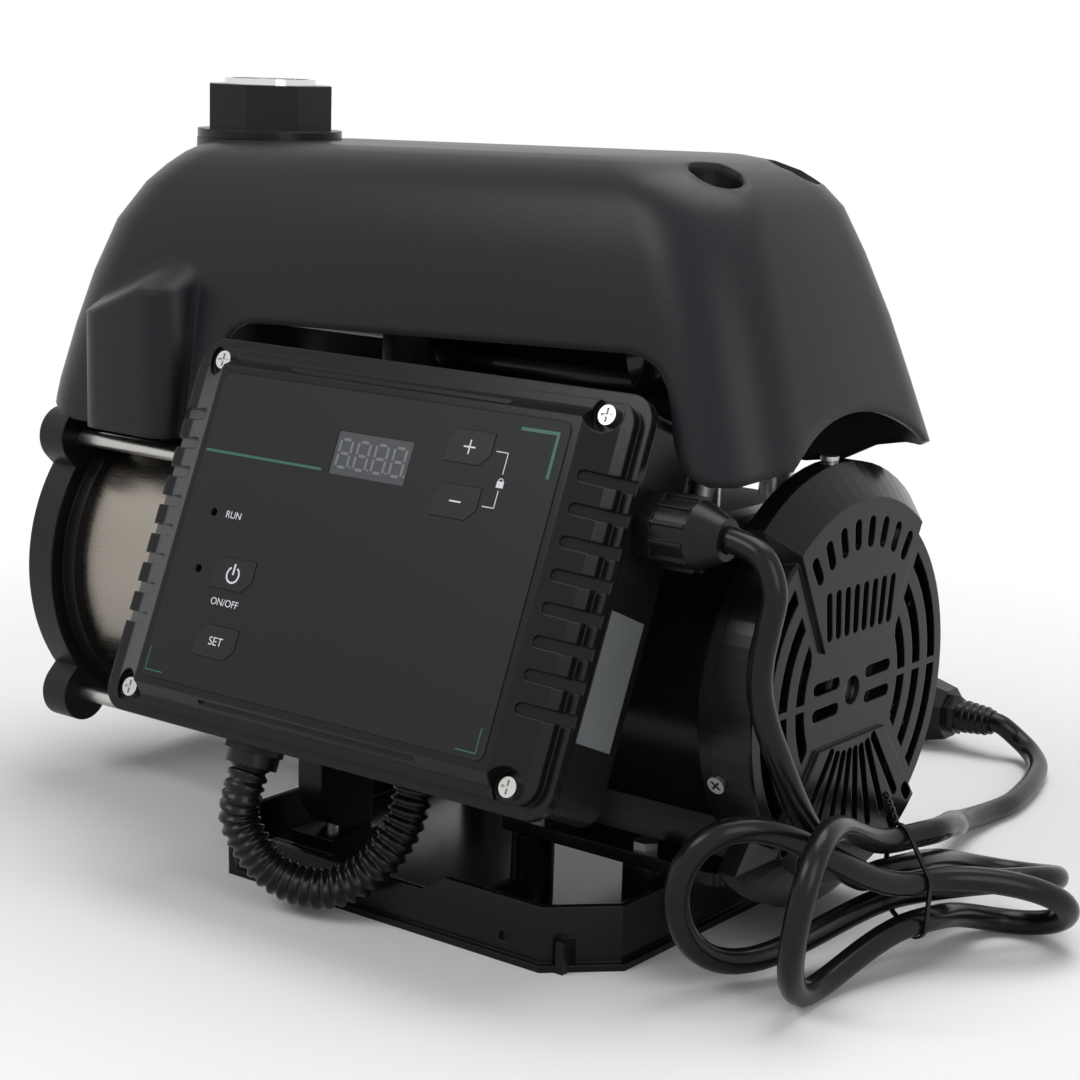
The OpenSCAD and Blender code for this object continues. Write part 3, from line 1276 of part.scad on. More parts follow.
// Lobes of the hank: reach along the tie's axis, half width, roll in degrees, sideways drift and lift
hank_lobes = [[90.5, 25, -161, 1, -14], [-113.5, 30, -98, -17.5, 18], [75, 20.5, 15.5, 11, -20],
  [-93, 28, -109, 31, 8]];
hank_axis = [sin(hank_bearing), cos(hank_bearing), 0];
hank_side = [cos(hank_bearing), -sin(hank_bearing), 0];

function in_tie(place) = hank_centre + place[0] * hank_side + [0, 0, place[1]];
function lobe_point(i, t) = let (lobe = hank_lobes[i], e = sin(180 * t), swing = lobe[1] * sin(360 * t) * e * (2 - e),
  place = hank_slots[i] + (hank_slots[i + 1] - hank_slots[i]) * t * t * (3 - 2 * t))
  in_tie([place[0] + swing * cos(lobe[2]) + lobe[3] * e * e, place[1] + swing * sin(lobe[2]) + lobe[4] * e * e])
  + lobe[0] * e * hank_axis;

hank_steps = 3 * hank_rings;
hank_turns = concat([for (i = [0 : len(hank_lobes) - 1]) for (k = [0 : hank_steps - 1]) lobe_point(i, k / hank_steps)],
  [in_tie(hank_slots[len(hank_slots) - 1])]);
hank_start = hank_turns[0] - cord_diameter * hank_axis;
hank_end = hank_turns[len(hank_turns) - 1] + cord_diameter * hank_axis;
hank_line = even(concat([hank_start], hank_turns, [hank_end]), hank_rings * len(hank_lobes));
hank_travel = distances(hank_turns);
// Least gap of the hank to itself, between points over three diameters apart
hank_gap = min([for (i = [0 : len(hank_turns) - 1]) for (j = [i + 1 : len(hank_turns) - 1])
  if (hank_travel[j] - hank_travel[i] > 3 * cord_diameter) norm(hank_turns[i] - hank_turns[j])]) - cord_diameter;

module cord_hank() color(black) {
  echo(hank_gap_mm = hank_gap);
  tube(hank_line, [for (p = hank_line) cord_radius], hank_sides);
}

// From the gland down to the hank, and from the hank to the plug
gland_exit_x = controller_x + housing_half_width + gland_body_length + seat_gap + gland_nut_length + gland_dome_length - cord_seat_depth;
gland_exit = [gland_exit_x, 0, shaft_height]
  + (motor_radius + controller_gap + housing_depth + gland_place[1]) * [0, -cos(face_tilt), sin(face_tilt)]
  + (gland_place[0] - controller_drop) * [0, sin(face_tilt), cos(face_tilt)];
power_cord_route = concat([gland_exit, gland_exit + [cord_diameter, 0, 0]],
  [[170, -89, 186], [176, -89, 173], [174, -89, 158], [171, -88, 144], [170, -86, 130], [172, -82, 115],
   [175, -76, 100], [178, -68, 83], [180, -58, 68], [181, -46, 54]],
  [hank_start - cord_diameter * hank_axis, hank_start]);
plug_place = [70, 297];
plug_radius = 20;
plug_front_thickness = 8;
plug_body_length = 26;
plug_collar_radius = 11;
plug_collar_length = 6;
plug_neck_length = 20;
plug_pin_radius = 2.4;
plug_pin_length = 19;
plug_pin_circle = 9.5;
plug_back = plug_collar_length + plug_body_length + plug_front_thickness;
plug_exit = [plug_place[0] + plug_neck_length - cord_seat_depth, plug_place[1], plug_radius];
plug_lead_route = concat([hank_end, hank_end + cord_diameter * hank_axis],
  [[200, 28, 52.5], [196, 44, 48], [188, 61, 42], [177, 80, 35], [164, 103, 26.5], [152, 129, 18],
   [145, 156, 10.5], [143, 184, 6.4], [144, 210, 5.6], [140, 236, 5.6], [135, 256, 5.6], [127, 279, 6],
   [116, 294, 8], [104, 300, 13]],
  [plug_exit + [cord_diameter, 0, 0], plug_exit]);

// The ends are straight and square
module lead(route) {
  whole = smooth(route, tube_sides);
  last = len(whole) - 1;
  line = [for (i = [tube_sides : last - tube_sides]) whole[i]];
  travel = distances(line);
  q = concat([whole[0]], even(line, ceil(travel[len(travel) - 1] / cord_ring_spacing)), [whole[last]]);
  color(black) tube(q, [for (p = q) cord_radius], tube_sides);
}

module power_cord() lead(power_cord_route);
module plug_lead() lead(plug_lead_route);

// Tie that holds the hank together, in the plane across its axis
tie_thickness = 1.2;
tie_width = 2;

module cord_tie() color(black) translate(hank_centre)
  rotate([90, 0, 180 - hank_bearing])
  up(-tie_width / 2) linear_extrude(tie_width) difference() {
    offset(r = tie_thickness, $fn = shell_fn) tie_bundle();
    tie_bundle();
  }

module tie_bundle() hull() for (place = hank_slots) translate([-place[0], place[1]])
  circle(r = cord_radius + fit_gap, $fn = shell_fn);

module power_plug() color(black) translate([plug_place[0], plug_place[1], plug_radius]) rotate([0, 90, 0]) difference() {
  union() {
    up(-plug_collar_length - plug_body_length) rotate(22.5)
      cylinder(r1 = plug_radius / cos(22.5), r2 = plug_radius * 0.75, h = plug_body_length, $fn = 8);
    up(-plug_back) rotate(22.5)
      cylinder(r = plug_radius / cos(22.5), h = plug_front_thickness, $fn = 8);
    up(-plug_collar_length) cylinder(r = plug_collar_radius, h = plug_collar_length, $fn = 6);
    cylinder(r1 = cord_radius * 1.6, r2 = cord_radius * 1.25, h = plug_neck_length);
    for (a = [0, 120, 240]) rotate(a) translate([plug_pin_circle, 0, -plug_back - plug_pin_length])
      cylinder(r = plug_pin_radius, h = plug_pin_length + over);
  }
  up(plug_neck_length - cord_seat_depth) cylinder(r = cord_radius + seat_gap, h = cord_seat_depth + over);
}

suction_cover();
pump_barrel();
tie_rods();
tie_rod_nuts();
impellers();
diffusers();
shaft();
seal_rotating();
seal_seat();
pump_bracket();
barrel_o_rings();
drain_plug();
priming_plug();
motor_housing();
stator_core();
stator_windings();
rotor_core();
front_bearing();
rear_bearing();
rear_end_shield();
cooling_fan();
fan_cover();
fan_cover_screws();
motor_foot();
outlet_riser();
outlet_port();
outlet_insert();
check_valve_poppet();
check_valve_spring();
pressure_sensor();
pressure_tank();
tank_bracket();
hood();
hood_screws();
controller_housing();
controller_lid();
lid_gasket();
panel_overlay();
display_window();
key_power();
key_set();
key_plus();
key_minus();
status_leds();
lid_screws();
circuit_board();
controller_bracket();
gland_body();
gland_nut();
conduit_fittings();
conduit_screws();
conduit();
base_tray();
base_bolts();
power_cord();
cord_hank();
cord_tie();
plug_lead();
power_plug();
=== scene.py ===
import math
import bmesh
import bpy
from mathutils import Matrix, Vector


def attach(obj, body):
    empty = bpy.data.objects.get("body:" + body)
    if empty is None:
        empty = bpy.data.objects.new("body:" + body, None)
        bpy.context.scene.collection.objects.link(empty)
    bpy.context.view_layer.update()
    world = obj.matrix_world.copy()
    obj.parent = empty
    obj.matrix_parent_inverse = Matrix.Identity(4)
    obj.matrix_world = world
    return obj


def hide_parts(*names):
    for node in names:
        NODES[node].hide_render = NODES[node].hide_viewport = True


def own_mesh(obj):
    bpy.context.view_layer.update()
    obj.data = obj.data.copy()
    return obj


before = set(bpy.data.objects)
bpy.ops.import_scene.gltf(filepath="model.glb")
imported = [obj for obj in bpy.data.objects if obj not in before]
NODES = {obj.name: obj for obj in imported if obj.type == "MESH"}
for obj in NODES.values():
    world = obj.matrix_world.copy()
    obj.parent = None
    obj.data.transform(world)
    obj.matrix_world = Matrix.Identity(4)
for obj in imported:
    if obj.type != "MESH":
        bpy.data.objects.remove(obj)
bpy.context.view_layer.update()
MM = 0.001

# Places of the part, in millimetres
SHAFT_Z = 113
RISER_X = -185.6
CORD_DIAMETER = 11
PANEL_ORIGIN = Vector((-8.8, -128.77, 164.03))
PANEL_UP = Vector((0, 0.37912, 0.92534))
PANEL_OUT = Vector((0, -0.92534, 0.37912))
WINDOW_TOP = 8.01
FILM_TOP = 8.3
KEY_TOP = 8.6
PLUG_PLACE = Vector((70, 297, 20))

# Camera, solved so that the parts line up with the photograph
CAMERA_PLACE = Vector((646.5, -871.1, 381.7))
CAMERA_TARGET = Vector((-7.9, 0, 153.5))
CAMERA_LENS = 78.3
CAMERA_ROLL = 1.818


# Materials: black finishes reflect little, so they stay black before the white backdrop
BLACK_LIMIT = 0.02
BLACK_SPECULAR = 0.2


def principled(name, color, rough, metal=0.0, coat=0.0):
    material = bpy.data.materials.new(name)
    material.use_nodes = True
    shader = material.node_tree.nodes["Principled BSDF"]
    shader.inputs["Base Color"].default_value = (*color, 1)
    shader.inputs["Roughness"].default_value = rough
    shader.inputs["Metallic"].default_value = metal
    shader.inputs["Coat Weight"].default_value = coat
    if max(color) < BLACK_LIMIT:
        shader.inputs["Specular IOR Level"].default_value = BLACK_SPECULAR
    return material


def grain(material, scale, strength, stretch=(1, 1, 1), rough_range=None, edge=0.0):
    tree = material.node_tree
    shader = tree.nodes["Principled BSDF"]
    place = tree.nodes.new("ShaderNodeTexCoord")
    mapping = tree.nodes.new("ShaderNodeMapping")
    mapping.inputs["Scale"].default_value = stretch
    noise = tree.nodes.new("ShaderNodeTexNoise")
    noise.inputs["Scale"].default_value = scale
    noise.inputs["Detail"].default_value = 4
    bump = tree.nodes.new("ShaderNodeBump")
    bump.inputs["Strength"].default_value = strength
    bump.inputs["Distance"].default_value = 0.0003
    tree.links.new(place.outputs["Object"], mapping.inputs["Vector"])
    tree.links.new(mapping.outputs["Vector"], noise.inputs["Vector"])
    tree.links.new(noise.outputs["Fac"], bump.inputs["Height"])
    tree.links.new(bump.outputs["Normal"], shader.inputs["Normal"])
    if edge:
        rounding = tree.nodes.new("ShaderNodeBevel")
        rounding.samples = 4
        rounding.inputs["Radius"].default_value = edge
        tree.links.new(rounding.outputs["Normal"], bump.inputs["Normal"])
    if rough_range:
        spread = tree.nodes.new("ShaderNodeMapRange")
        spread.inputs["To Min"].default_value = rough_range[0]
        spread.inputs["To Max"].default_value = rough_range[1]
        tree.links.new(noise.outputs["Fac"], spread.inputs["Value"])
        tree.links.new(spread.outputs["Result"], shader.inputs["Roughness"])
    return material


CAST = grain(principled("cast_paint", (0.008, 0.008, 0.009), 0.36), 500, 0.25, edge=0.0015)
ALLOY = grain(principled("black_alloy", (0.006, 0.006, 0.007), 0.26), 420, 0.12, edge=0.0012)
GLOSS = grain(principled("gloss_black", (0.006, 0.006, 0.007), 0.2, coat=0.3), 160, 0.06)
PLASTIC = grain(principled("black_plastic", (0.007, 0.007, 0.008), 0.3), 900, 0.15, edge=0.001)
COVER = grain(principled("cover_plastic", (0.006, 0.006, 0.007), 0.22), 700, 0.08, edge=0.0008)
HOOD = grain(principled("hood_plastic", (0.011, 0.012, 0.0145), 0.36), 1100, 0.2, edge=0.006)
LID = grain(principled("lid_plastic", (0.006, 0.006, 0.0075), 0.2), 900, 0.08, edge=0.0012)
STAINLESS = grain(principled("stainless", (0.3, 0.27, 0.235), 0.28, 1.0), 60, 0.12, (2, 30, 30), (0.2, 0.36))
ZINC = grain(principled("zinc", (0.5, 0.49, 0.47), 0.3, 1.0), 300, 0.1)
CHROME = principled("chrome", (0.7, 0.7, 0.72), 0.08, 1.0)
BRASS = principled("brass", (0.72, 0.5, 0.22), 0.3, 1.0)
COPPER = principled("copper", (0.6, 0.26, 0.1), 0.35, 0.9)
LAMINATION = principled("lamination", (0.3, 0.3, 0.31), 0.45, 0.8)
CERAMIC = principled("ceramic", (0.8, 0.8, 0.77), 0.25)
RUBBER = grain(principled("rubber", (0.007, 0.007, 0.0075), 0.24), 260, 0.04)
# Painted shade: near-black colour for the thin sheets that stand in for the shaded cross recesses of screw
# heads
RECESS_SHADE = principled("painted_recess_shade", (0.006, 0.006, 0.007), 0.6)
FILM = principled("panel_film", (0.0065, 0.0075, 0.009), 0.4)
GLASS = principled("window_glass", (0.05, 0.055, 0.06), 0.2)
SEGMENT = principled("unlit_segment", (0.16, 0.165, 0.17), 0.35)
KEY = principled("key_cap", (0.016, 0.017, 0.0195), 0.28)
PRINT = principled("white_print", (0.78, 0.79, 0.8), 0.45)
GREEN = principled("green_print", (0.012, 0.1, 0.06), 0.4)
LAMP = principled("lamp_lens", (0.1, 0.1, 0.1), 0.25)
PLATE = grain(principled("bare_plate", (0.2, 0.21, 0.215), 0.4, 0.3), 200, 0.05)
BOARD = principled("circuit_board", (0.03, 0.16, 0.06), 0.35)
RESIN = principled("moulded_resin", (0.28, 0.23, 0.15), 0.45)

NODE_MATERIALS = {
    CAST: ["suction_cover", "pump_bracket", "outlet_riser"],
    ALLOY: ["motor_housing", "rear_end_shield", "motor_foot", "controller_bracket"],
    GLOSS: ["pressure_tank"],
    COVER: ["fan_cover", "base_tray", "power_plug"],
    PLASTIC: ["cooling_fan", "outlet_port", "check_valve_poppet", "controller_housing", "gland_body",
              "gland_nut", "conduit_fittings"],
    HOOD: ["hood"],
    LID: ["controller_lid"],
    STAINLESS: ["pump_barrel"],
    ZINC: ["tie_rods", "tie_rod_nuts", "fan_cover_screws", "base_bolts", "conduit_screws", "lid_screws",
           "hood_screws", "shaft", "front_bearing", "rear_bearing", "check_valve_spring", "tank_bracket"],
    CHROME: ["outlet_insert"],
    BRASS: ["drain_plug", "priming_plug", "pressure_sensor"],
    COPPER: ["stator_windings"],
    LAMINATION: ["stator_core", "rotor_core"],
    CERAMIC: ["seal_seat"],
    RUBBER: ["barrel_o_rings", "lid_gasket", "seal_rotating", "cord_tie"],
    RESIN: ["impellers", "diffusers"],
    FILM: ["panel_overlay"],
    GLASS: ["display_window"],
    KEY: ["key_power", "key_set", "key_plus", "key_minus"],
    LAMP: ["status_leds"],
    BOARD: ["circuit_board"],
}
for finish, names in NODE_MATERIALS.items():
    for name in names:
        for slot in NODES[name].material_slots:
            slot.material = finish


# Pieces
def add(name, data, material, body="pump", matrix=None):
    obj = bpy.data.objects.new(name, data)
    bpy.context.scene.collection.objects.link(obj)
    data.materials.append(material)
    if matrix is not None:
        obj.matrix_world = matrix
    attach(obj, body)
    return obj


def mesh_piece(name, points, faces, material, body="pump", smooth=False):
    mesh = bpy.data.meshes.new(name)
    mesh.from_pydata([Vector(p) * MM for p in points], [], faces)
    maker = bmesh.new()
    maker.from_mesh(mesh)
    bmesh.ops.recalc_face_normals(maker, faces=maker.faces)
    maker.to_mesh(mesh)
    maker.free()
    if smooth:
        mesh.shade_smooth()
    return add(name, mesh, material, body)


def prism(name, outline, origin, across, up, out, depth, material, body="pump"):
    base = [origin + across * u + up * v for u, v in outline]
    count = len(base)
    faces = [list(range(count)), list(range(2 * count - 1, count - 1, -1))]
    faces += [[k, (k + 1) % count, count + (k + 1) % count, count + k] for k in range(count)]
    return mesh_piece(name, base + [p + out * depth for p in base], faces, material, body)


def lathe(name, profile, origin, axis, material, body="pump", sides=64, smooth=True):
    first = axis.orthogonal().normalized()
    second = axis.cross(first)
    points = []
    for radius, along in profile:
        for k in range(sides):
            turn = 2 * math.pi * k / sides
            points.append(origin + axis * along + (first * math.cos(turn) + second * math.sin(turn)) * radius)
    faces = []
    for row in range(len(profile) - 1):
        for k in range(sides):
            nxt = (k + 1) % sides
            faces.append([row * sides + k, row * sides + nxt, (row + 1) * sides + nxt, (row + 1) * sides + k])
    return mesh_piece(name, points, faces, material, body, smooth)


def smooth_route(points, steps):
    points = [Vector(p) for p in points]
    line = []
    last = len(points) - 1
    for i in range(last):
        a, b, c, d = points[max(i - 1, 0)], points[i], points[i + 1], points[min(i + 2, last)]
        for j in range(steps):
            t = j / steps
            line.append(0.5 * (2 * b + (c - a) * t + (2 * a - 5 * b + 4 * c - d) * t * t
                               + (3 * b - a - 3 * c + d) * t ** 3))
    return line + [points[last]]


def line_length(line):
    return sum((b - a).length for a, b in zip(line, line[1:])) * MM


def line_curve(name, line, radius, material, body="pump", sides=6):
    curve = bpy.data.curves.new(name, "CURVE")
    curve.dimensions = "3D"
    curve.bevel_depth = radius * MM
    curve.bevel_resolution = sides
    curve.use_fill_caps = True
    spline = curve.splines.new("POLY")
    spline.points.add(len(line) - 1)
    for point, place in zip(spline.points, line):
        point.co = (*(place * MM), 1)
    return add(name, curve, material, body)


def smooth_copy(node, degrees):
    source = NODES[node]
    mesh = source.data.copy()
    maker = bmesh.new()
    maker.from_mesh(mesh)
    bmesh.ops.remove_doubles(maker, verts=maker.verts, dist=0.00002)
    for face in maker.faces:
        face.smooth = True
    for edge in maker.edges:
        edge.smooth = len(edge.link_faces) == 2 and edge.calc_face_angle() < math.radians(degrees)
    maker.to_mesh(mesh)
    maker.free()
    mesh.name = node + "_smooth"
    obj = bpy.data.objects.new(node + "_smooth", mesh)
    bpy.context.scene.collection.objects.link(obj)
    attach(obj, "pump")
    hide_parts(node)
    return obj


def shortening_spring():
    spring = smooth_copy("check_valve_spring", 75)
    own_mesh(spring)


for name in ("hood", "motor_foot", "pressure_tank"):
    smooth_copy(name, 32)
shortening_spring()


# Camera
def set_camera():
    data = bpy.data.cameras.new("camera")
    data.lens = CAMERA_LENS
    data.sensor_width = 36
    obj = bpy.data.objects.new("camera", data)
    bpy.context.scene.collection.objects.link(obj)
    place = CAMERA_PLACE * MM
    target = CAMERA_TARGET * MM
    turn = (target - place).to_track_quat("-Z", "Y").to_matrix().to_4x4()
    roll = Matrix.Rotation(math.radians(CAMERA_ROLL), 4, "Z")
    obj.matrix_world = Matrix.Translation(place) @ turn @ roll
    bpy.context.scene.camera = obj


set_camera()

# Mains lead, by the same points as the part's own
HANK_CENTRE = Vector((202, -10, 35.2))
HANK_BEARING = math.radians(16.5)
HANK_AXIS = Vector((math.sin(HANK_BEARING), math.cos(HANK_BEARING), 0))
HANK_SIDE = Vector((math.cos(HANK_BEARING), -math.sin(HANK_BEARING), 0))
HANK_UP = Vector((0, 0, 1))
HANK_SLOTS = [(-7, 6), (-7, -6.5), (7, 4), (6, -14.5), (-6, 19.5)]
# Reach along the tie's axis, half width, roll in degrees, sideways drift and lift
HANK_LOBES = [(90.5, 25, -161, 1, -14), (-113.5, 30, -98, -17.5, 18), (75, 20.5, 15.5, 11, -20),
              (-93, 28, -109, 31, 8)]
HANK_STEPS = 48
GLAND_EXIT = Vector((146.1, -88.63, 190.81))
PLUG_EXIT = PLUG_PLACE + Vector((13, 0, 0))


def hank_point(lobe, t):
    reach, width, roll, drift, lift = HANK_LOBES[lobe]
    swell = math.sin(math.pi * t)
    swing = width * math.sin(2 * math.pi * t) * swell * (2 - swell)
    ease = t * t * (3 - 2 * t)
    side, up = [a + (b - a) * ease for a, b in zip(HANK_SLOTS[lobe], HANK_SLOTS[lobe + 1])]
    side += swing * math.cos(math.radians(roll)) + drift * swell ** 2
    up += swing * math.sin(math.radians(roll)) + lift * swell ** 2
    return HANK_CENTRE + side * HANK_SIDE + up * HANK_UP + reach * swell * HANK_AXIS


hank_line = [hank_point(i, k / HANK_STEPS) for i in range(len(HANK_LOBES)) for k in range(HANK_STEPS)]
hank_line.append(hank_point(len(HANK_LOBES) - 1, 1))
hank_line.insert(0, hank_line[0] - CORD_DIAMETER * HANK_AXIS)
hank_line.append(hank_line[-1] + CORD_DIAMETER * HANK_AXIS)
POWER_POINTS = [(170, -89, 186), (176, -89, 173), (174, -89, 158), (171, -88, 144), (170, -86, 130),
                (172, -82, 115), (175, -76, 100), (178, -68, 83), (180, -58, 68), (181, -46, 54)]
LEAD_POINTS = [(200, 28, 52.5), (196, 44, 48), (188, 61, 42), (177, 80, 35), (164, 103, 26.5),
               (152, 129, 18), (145, 156, 10.5), (143, 184, 6.4), (144, 210, 5.6), (140, 236, 5.6),
               (135, 256, 5.6), (127, 279, 6), (116, 294, 8), (104, 300, 13)]
AHEAD = Vector((CORD_DIAMETER, 0, 0))
power_line = smooth_route([GLAND_EXIT, GLAND_EXIT + AHEAD, *POWER_POINTS,
                           hank_line[0] - CORD_DIAMETER * HANK_AXIS, hank_line[0]], 8)
lead_line = smooth_route([hank_line[-1], hank_line[-1] + CORD_DIAMETER * HANK_AXIS, *LEAD_POINTS,
                          PLUG_EXIT + AHEAD, PLUG_EXIT], 8)
CORD_FACTS = [("cord_from_gland", "power_cord", power_line, "knot", "hanging", []),
              ("cord_bundle", "cord_hank", hank_line, "knot", "coiled", [NODES["cord_tie"]]),
              ("cord_to_plug", "plug_lead", lead_line, "plug", "loose", [NODES["power_plug"]])]
for name, node, line, far_end, lay, carried in CORD_FACTS:
    piece = line_curve(name, line, CORD_DIAMETER / 2, RUBBER)
    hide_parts(node)


# Ribbed conduit, by the same points as the part's own
CONDUIT_START = Vector((-55.8, -142.55, 72.4))
CONDUIT_FIRST = Vector((0, -0.37912, -0.92534))
CONDUIT_LAST = Vector((0, -0.927, -0.375))
CONDUIT_END = Vector((10, 0, SHAFT_Z)) + 96 * CONDUIT_LAST
CONDUIT_MIDDLE = [(-57, 27, 39), (-42, 23, 20), (-20, 16, 14.5), (-2, 5, 23), (8, -7, 43)]
CONDUIT_RADIUS = 9.4
HALF_BASE = 123
RIB_PITCH = 4.8
RIB_SHARES = [0.82, 0.82, 0.96, 1.0, 0.96]


def conduit_line():
    radius, diameter = CONDUIT_RADIUS + 0.1, 2 * CONDUIT_RADIUS + 0.2
    route = [CONDUIT_START + s * CONDUIT_FIRST for s in (0, radius, diameter)]
    route += [Vector((x, -HALF_BASE - y, z)) for x, y, z in CONDUIT_MIDDLE]
    route += [CONDUIT_END + s * CONDUIT_LAST for s in (diameter, radius, 0)]
    return smooth_route(route, 24)


def even_points(line, count):
    travel = [0]
    for a, b in zip(line, line[1:]):
        travel.append(travel[-1] + (b - a).length)
    points, i = [], 0
    for k in range(count + 1):
        want = travel[-1] * k / count
        while i < len(travel) - 2 and travel[i + 1] < want:
            i += 1
        t = (want - travel[i]) / (travel[i + 1] - travel[i])
        points.append(line[i].lerp(line[i + 1], t))
    return points


def conduit():
    line = conduit_line()
    count = round(line_length(line) / MM / RIB_PITCH) * len(RIB_SHARES)
    path = even_points(line, count)
    sides, points, faces = 20, [], []
    side = Vector((1, 0, 0))
    for k, place in enumerate(path):
        ahead = (path[min(k + 1, count)] - path[max(k - 1, 0)]).normalized()
        side = (side - ahead * side.dot(ahead)).normalized()
        other = ahead.cross(side)
        radius = CONDUIT_RADIUS * RIB_SHARES[k % len(RIB_SHARES)]
        for j in range(sides):
            turn = 2 * math.pi * j / sides
            points.append(place + (side * math.cos(turn) + other * math.sin(turn)) * radius)
    for k in range(count):
        for j in range(sides):
            nxt = (j + 1) % sides
            faces.append([k * sides + j, k * sides + nxt, (k + 1) * sides + nxt, (k + 1) * sides + j])
    piece = mesh_piece("ribbed_hose", points, faces, RUBBER, smooth=True)
    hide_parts("conduit")


conduit()


# Panel print: outlines are across and up the panel, from its middle
PRINT_THICKNESS = 0.08


def panel_print(name, outline, material=PRINT, level=FILM_TOP, body="pump"):
    across = Vector((1, 0, 0))
    origin = PANEL_ORIGIN + PANEL_OUT * level
    piece = prism(name, outline, origin, across, PANEL_UP, PANEL_OUT, PRINT_THICKNESS, material, body)
    return piece


def bar(u0, v0, u1, v1):
    return [(u0, v0), (u1, v0), (u1, v1), (u0, v1)]


def ring_sector(name, u, v, radius, width, start, stop, level, body, material=PRINT):
    steps = 28
    turns = [math.radians(start + (stop - start) * k / steps) for k in range(steps + 1)]
    inner = radius - width
    outline = [(u + radius * math.cos(t), v + radius * math.sin(t)) for t in turns]
    outline += [(u + inner * math.cos(t), v + inner * math.sin(t)) for t in reversed(turns)]
    for k in range(steps):
        quad = [outline[k], outline[k + 1], outline[2 * steps - k], outline[2 * steps + 1 - k]]
        panel_print("%s_%02d" % (name, k), quad, material, level, body)


def word(name, text, u, v, size, level=FILM_TOP, body="pump"):
    font = bpy.data.curves.new(name, "FONT")
    font.body = text
    font.size = size * MM
    font.extrude = 0.05 * MM
    font.align_x = "CENTER"
    font.align_y = "CENTER"
    turn = Matrix((Vector((1, 0, 0)), PANEL_UP, PANEL_OUT)).transposed().to_4x4()
    place = PANEL_ORIGIN + PANEL_UP * v + PANEL_OUT * level + Vector((u, 0, 0))
    piece = add(name, font, PRINT, body, Matrix.Translation(place * MM) @ turn)


def digit(name, u, v):
    width, height, thick, tip, gap = 6.6, 12.4, 1.3, 0.6, 1
    left, right = u - width / 2, u + width / 2
    for k, level in enumerate((0, height / 2, height)):
        low = v - height / 2 + level - thick / 2
        middle, high = low + thick / 2, low + thick
        outline = [(left + gap, middle), (left + gap + tip, low), (right - gap - tip, low),
                   (right - gap, middle), (right - gap - tip, high), (left + gap + tip, high)]
        panel_print("%s_level_%d" % (name, k), outline, SEGMENT, WINDOW_TOP)
    for k, (side, half) in enumerate(((-1, -1), (-1, 1), (1, -1), (1, 1))):
        middle = u + side * width / 2
        low = v + (gap / 2 if half > 0 else gap / 2 - height / 2)
        upright = bar(middle - thick / 2, low, middle + thick / 2, low + height / 2 - gap)
        panel_print("%s_upright_%d" % (name, k), upright, SEGMENT, WINDOW_TOP)
    dot = bar(right + thick, v - height / 2, right + thick + gap, v - height / 2 + gap)
    panel_print(name + "_dot", dot, SEGMENT, WINDOW_TOP)


def panel_details():
    for k in range(4):
        digit("digit_%d" % k, -16.6 + k * 10.2, 43.1)
    panel_print("green_line", bar(-97, 33.9, -26.9, 35.1), GREEN)
    for name, u, v, side, up in (("top_right", 93.5, 66.5, -1, -1), ("bottom_right", 94, -68.5, -1, 1),
                                 ("bottom_left", -96.5, -68.5, 1, 1)):
        thick = 1.5 if up < 0 else 0.5
        long_side = 20 if up < 0 else 11
        level = bar(u, v, u + side * long_side, v + up * thick)
        upright = bar(u, v + up * thick, u + side * thick, v + up * long_side)
        panel_print("corner_%s_level" % name, level, GREEN)
        panel_print("corner_%s_upright" % name, upright, GREEN)
    panel_print("link_top", bar(64, 54.4, 70.4, 54.8))
    panel_print("link_side_upper", bar(70, 45.4, 70.4, 54.8))
    panel_print("link_side_lower", bar(70, 30.7, 70.4, 38.4))
    panel_print("link_bottom", bar(64, 30.7, 70.4, 31.1))
    panel_print("padlock_body", bar(68.4, 39.6, 72, 42.4))
    ring_sector("padlock_shackle", 70.2, 42.4, 1.4, 0.4, 0, 180, FILM_TOP, "pump")
    word("label_run", "RUN", -69.5, 7, 4.6)
    word("label_switch", "ON/OFF", -60.5, -32, 4.6)
    word("mark_set", "SET", -59.1, -49.5, 5.4, KEY_TOP, "key_set")
    for name, v in (("plus", 54.6), ("minus", 30.9)):
        panel_print("mark_" + name, bar(46.8, v - 0.35, 53, v + 0.35), PRINT, KEY_TOP, "key_" + name)
    panel_print("mark_plus_upright", bar(49.55, 51.5, 50.25, 57.7), PRINT, KEY_TOP + 0.02, "key_plus")
    ring_sector("mark_power", -59.9, -19, 4, 0.9, -240, 60, KEY_TOP, "key_power")
    panel_print("mark_power_bar", bar(-60.4, -19, -59.4, -13.9), PRINT, KEY_TOP, "key_power")


panel_details()


# Fasteners
# Each screw's cross is two thin near-black sheets laid on the head: painted shade where the recess would be,
# not a cut
def painted_cross_shade(name, place, axis, size):
    first = axis.orthogonal().normalized()
    second = axis.cross(first)
    for k, (a, b) in enumerate(((first, second), (second, first))):
        outline = bar(-size, -size / 5, size, size / 5)
        prism("%s_%d" % (name, k), outline, place, a, b, axis, 0.06 + 0.02 * k, RECESS_SHADE)


FOOT_TOP = 40
HOOD_SCREW_TOP = 307.2


def fasteners():
    up = Vector((0, 0, 1))
    for i, x in enumerate((36, 98)):
        for j, y in enumerate((-56.5, 56.5)):
            place = Vector((x, y, FOOT_TOP))
            lathe("bolt_crown_%d%d" % (i, j), [(0, 3.9), (3.2, 3.9), (4.6, 3.52)], place, up, ZINC)
    for j, y in enumerate((-31.5, 31.5)):
        painted_cross_shade("hood_screw_cross_%d" % j, Vector((102, y, HOOD_SCREW_TOP)), up, 3)
    for k, degrees in enumerate((-20, 90, 200)):
        turn = math.radians(degrees)
        axis = Vector((0, math.cos(turn), math.sin(turn)))
        seat = 99 if degrees == 90 else 82
        painted_cross_shade("cover_screw_cross_%d" % k, Vector((146.5, 0, SHAFT_Z)) + axis * (seat + 2), axis, 2.6)


fasteners()


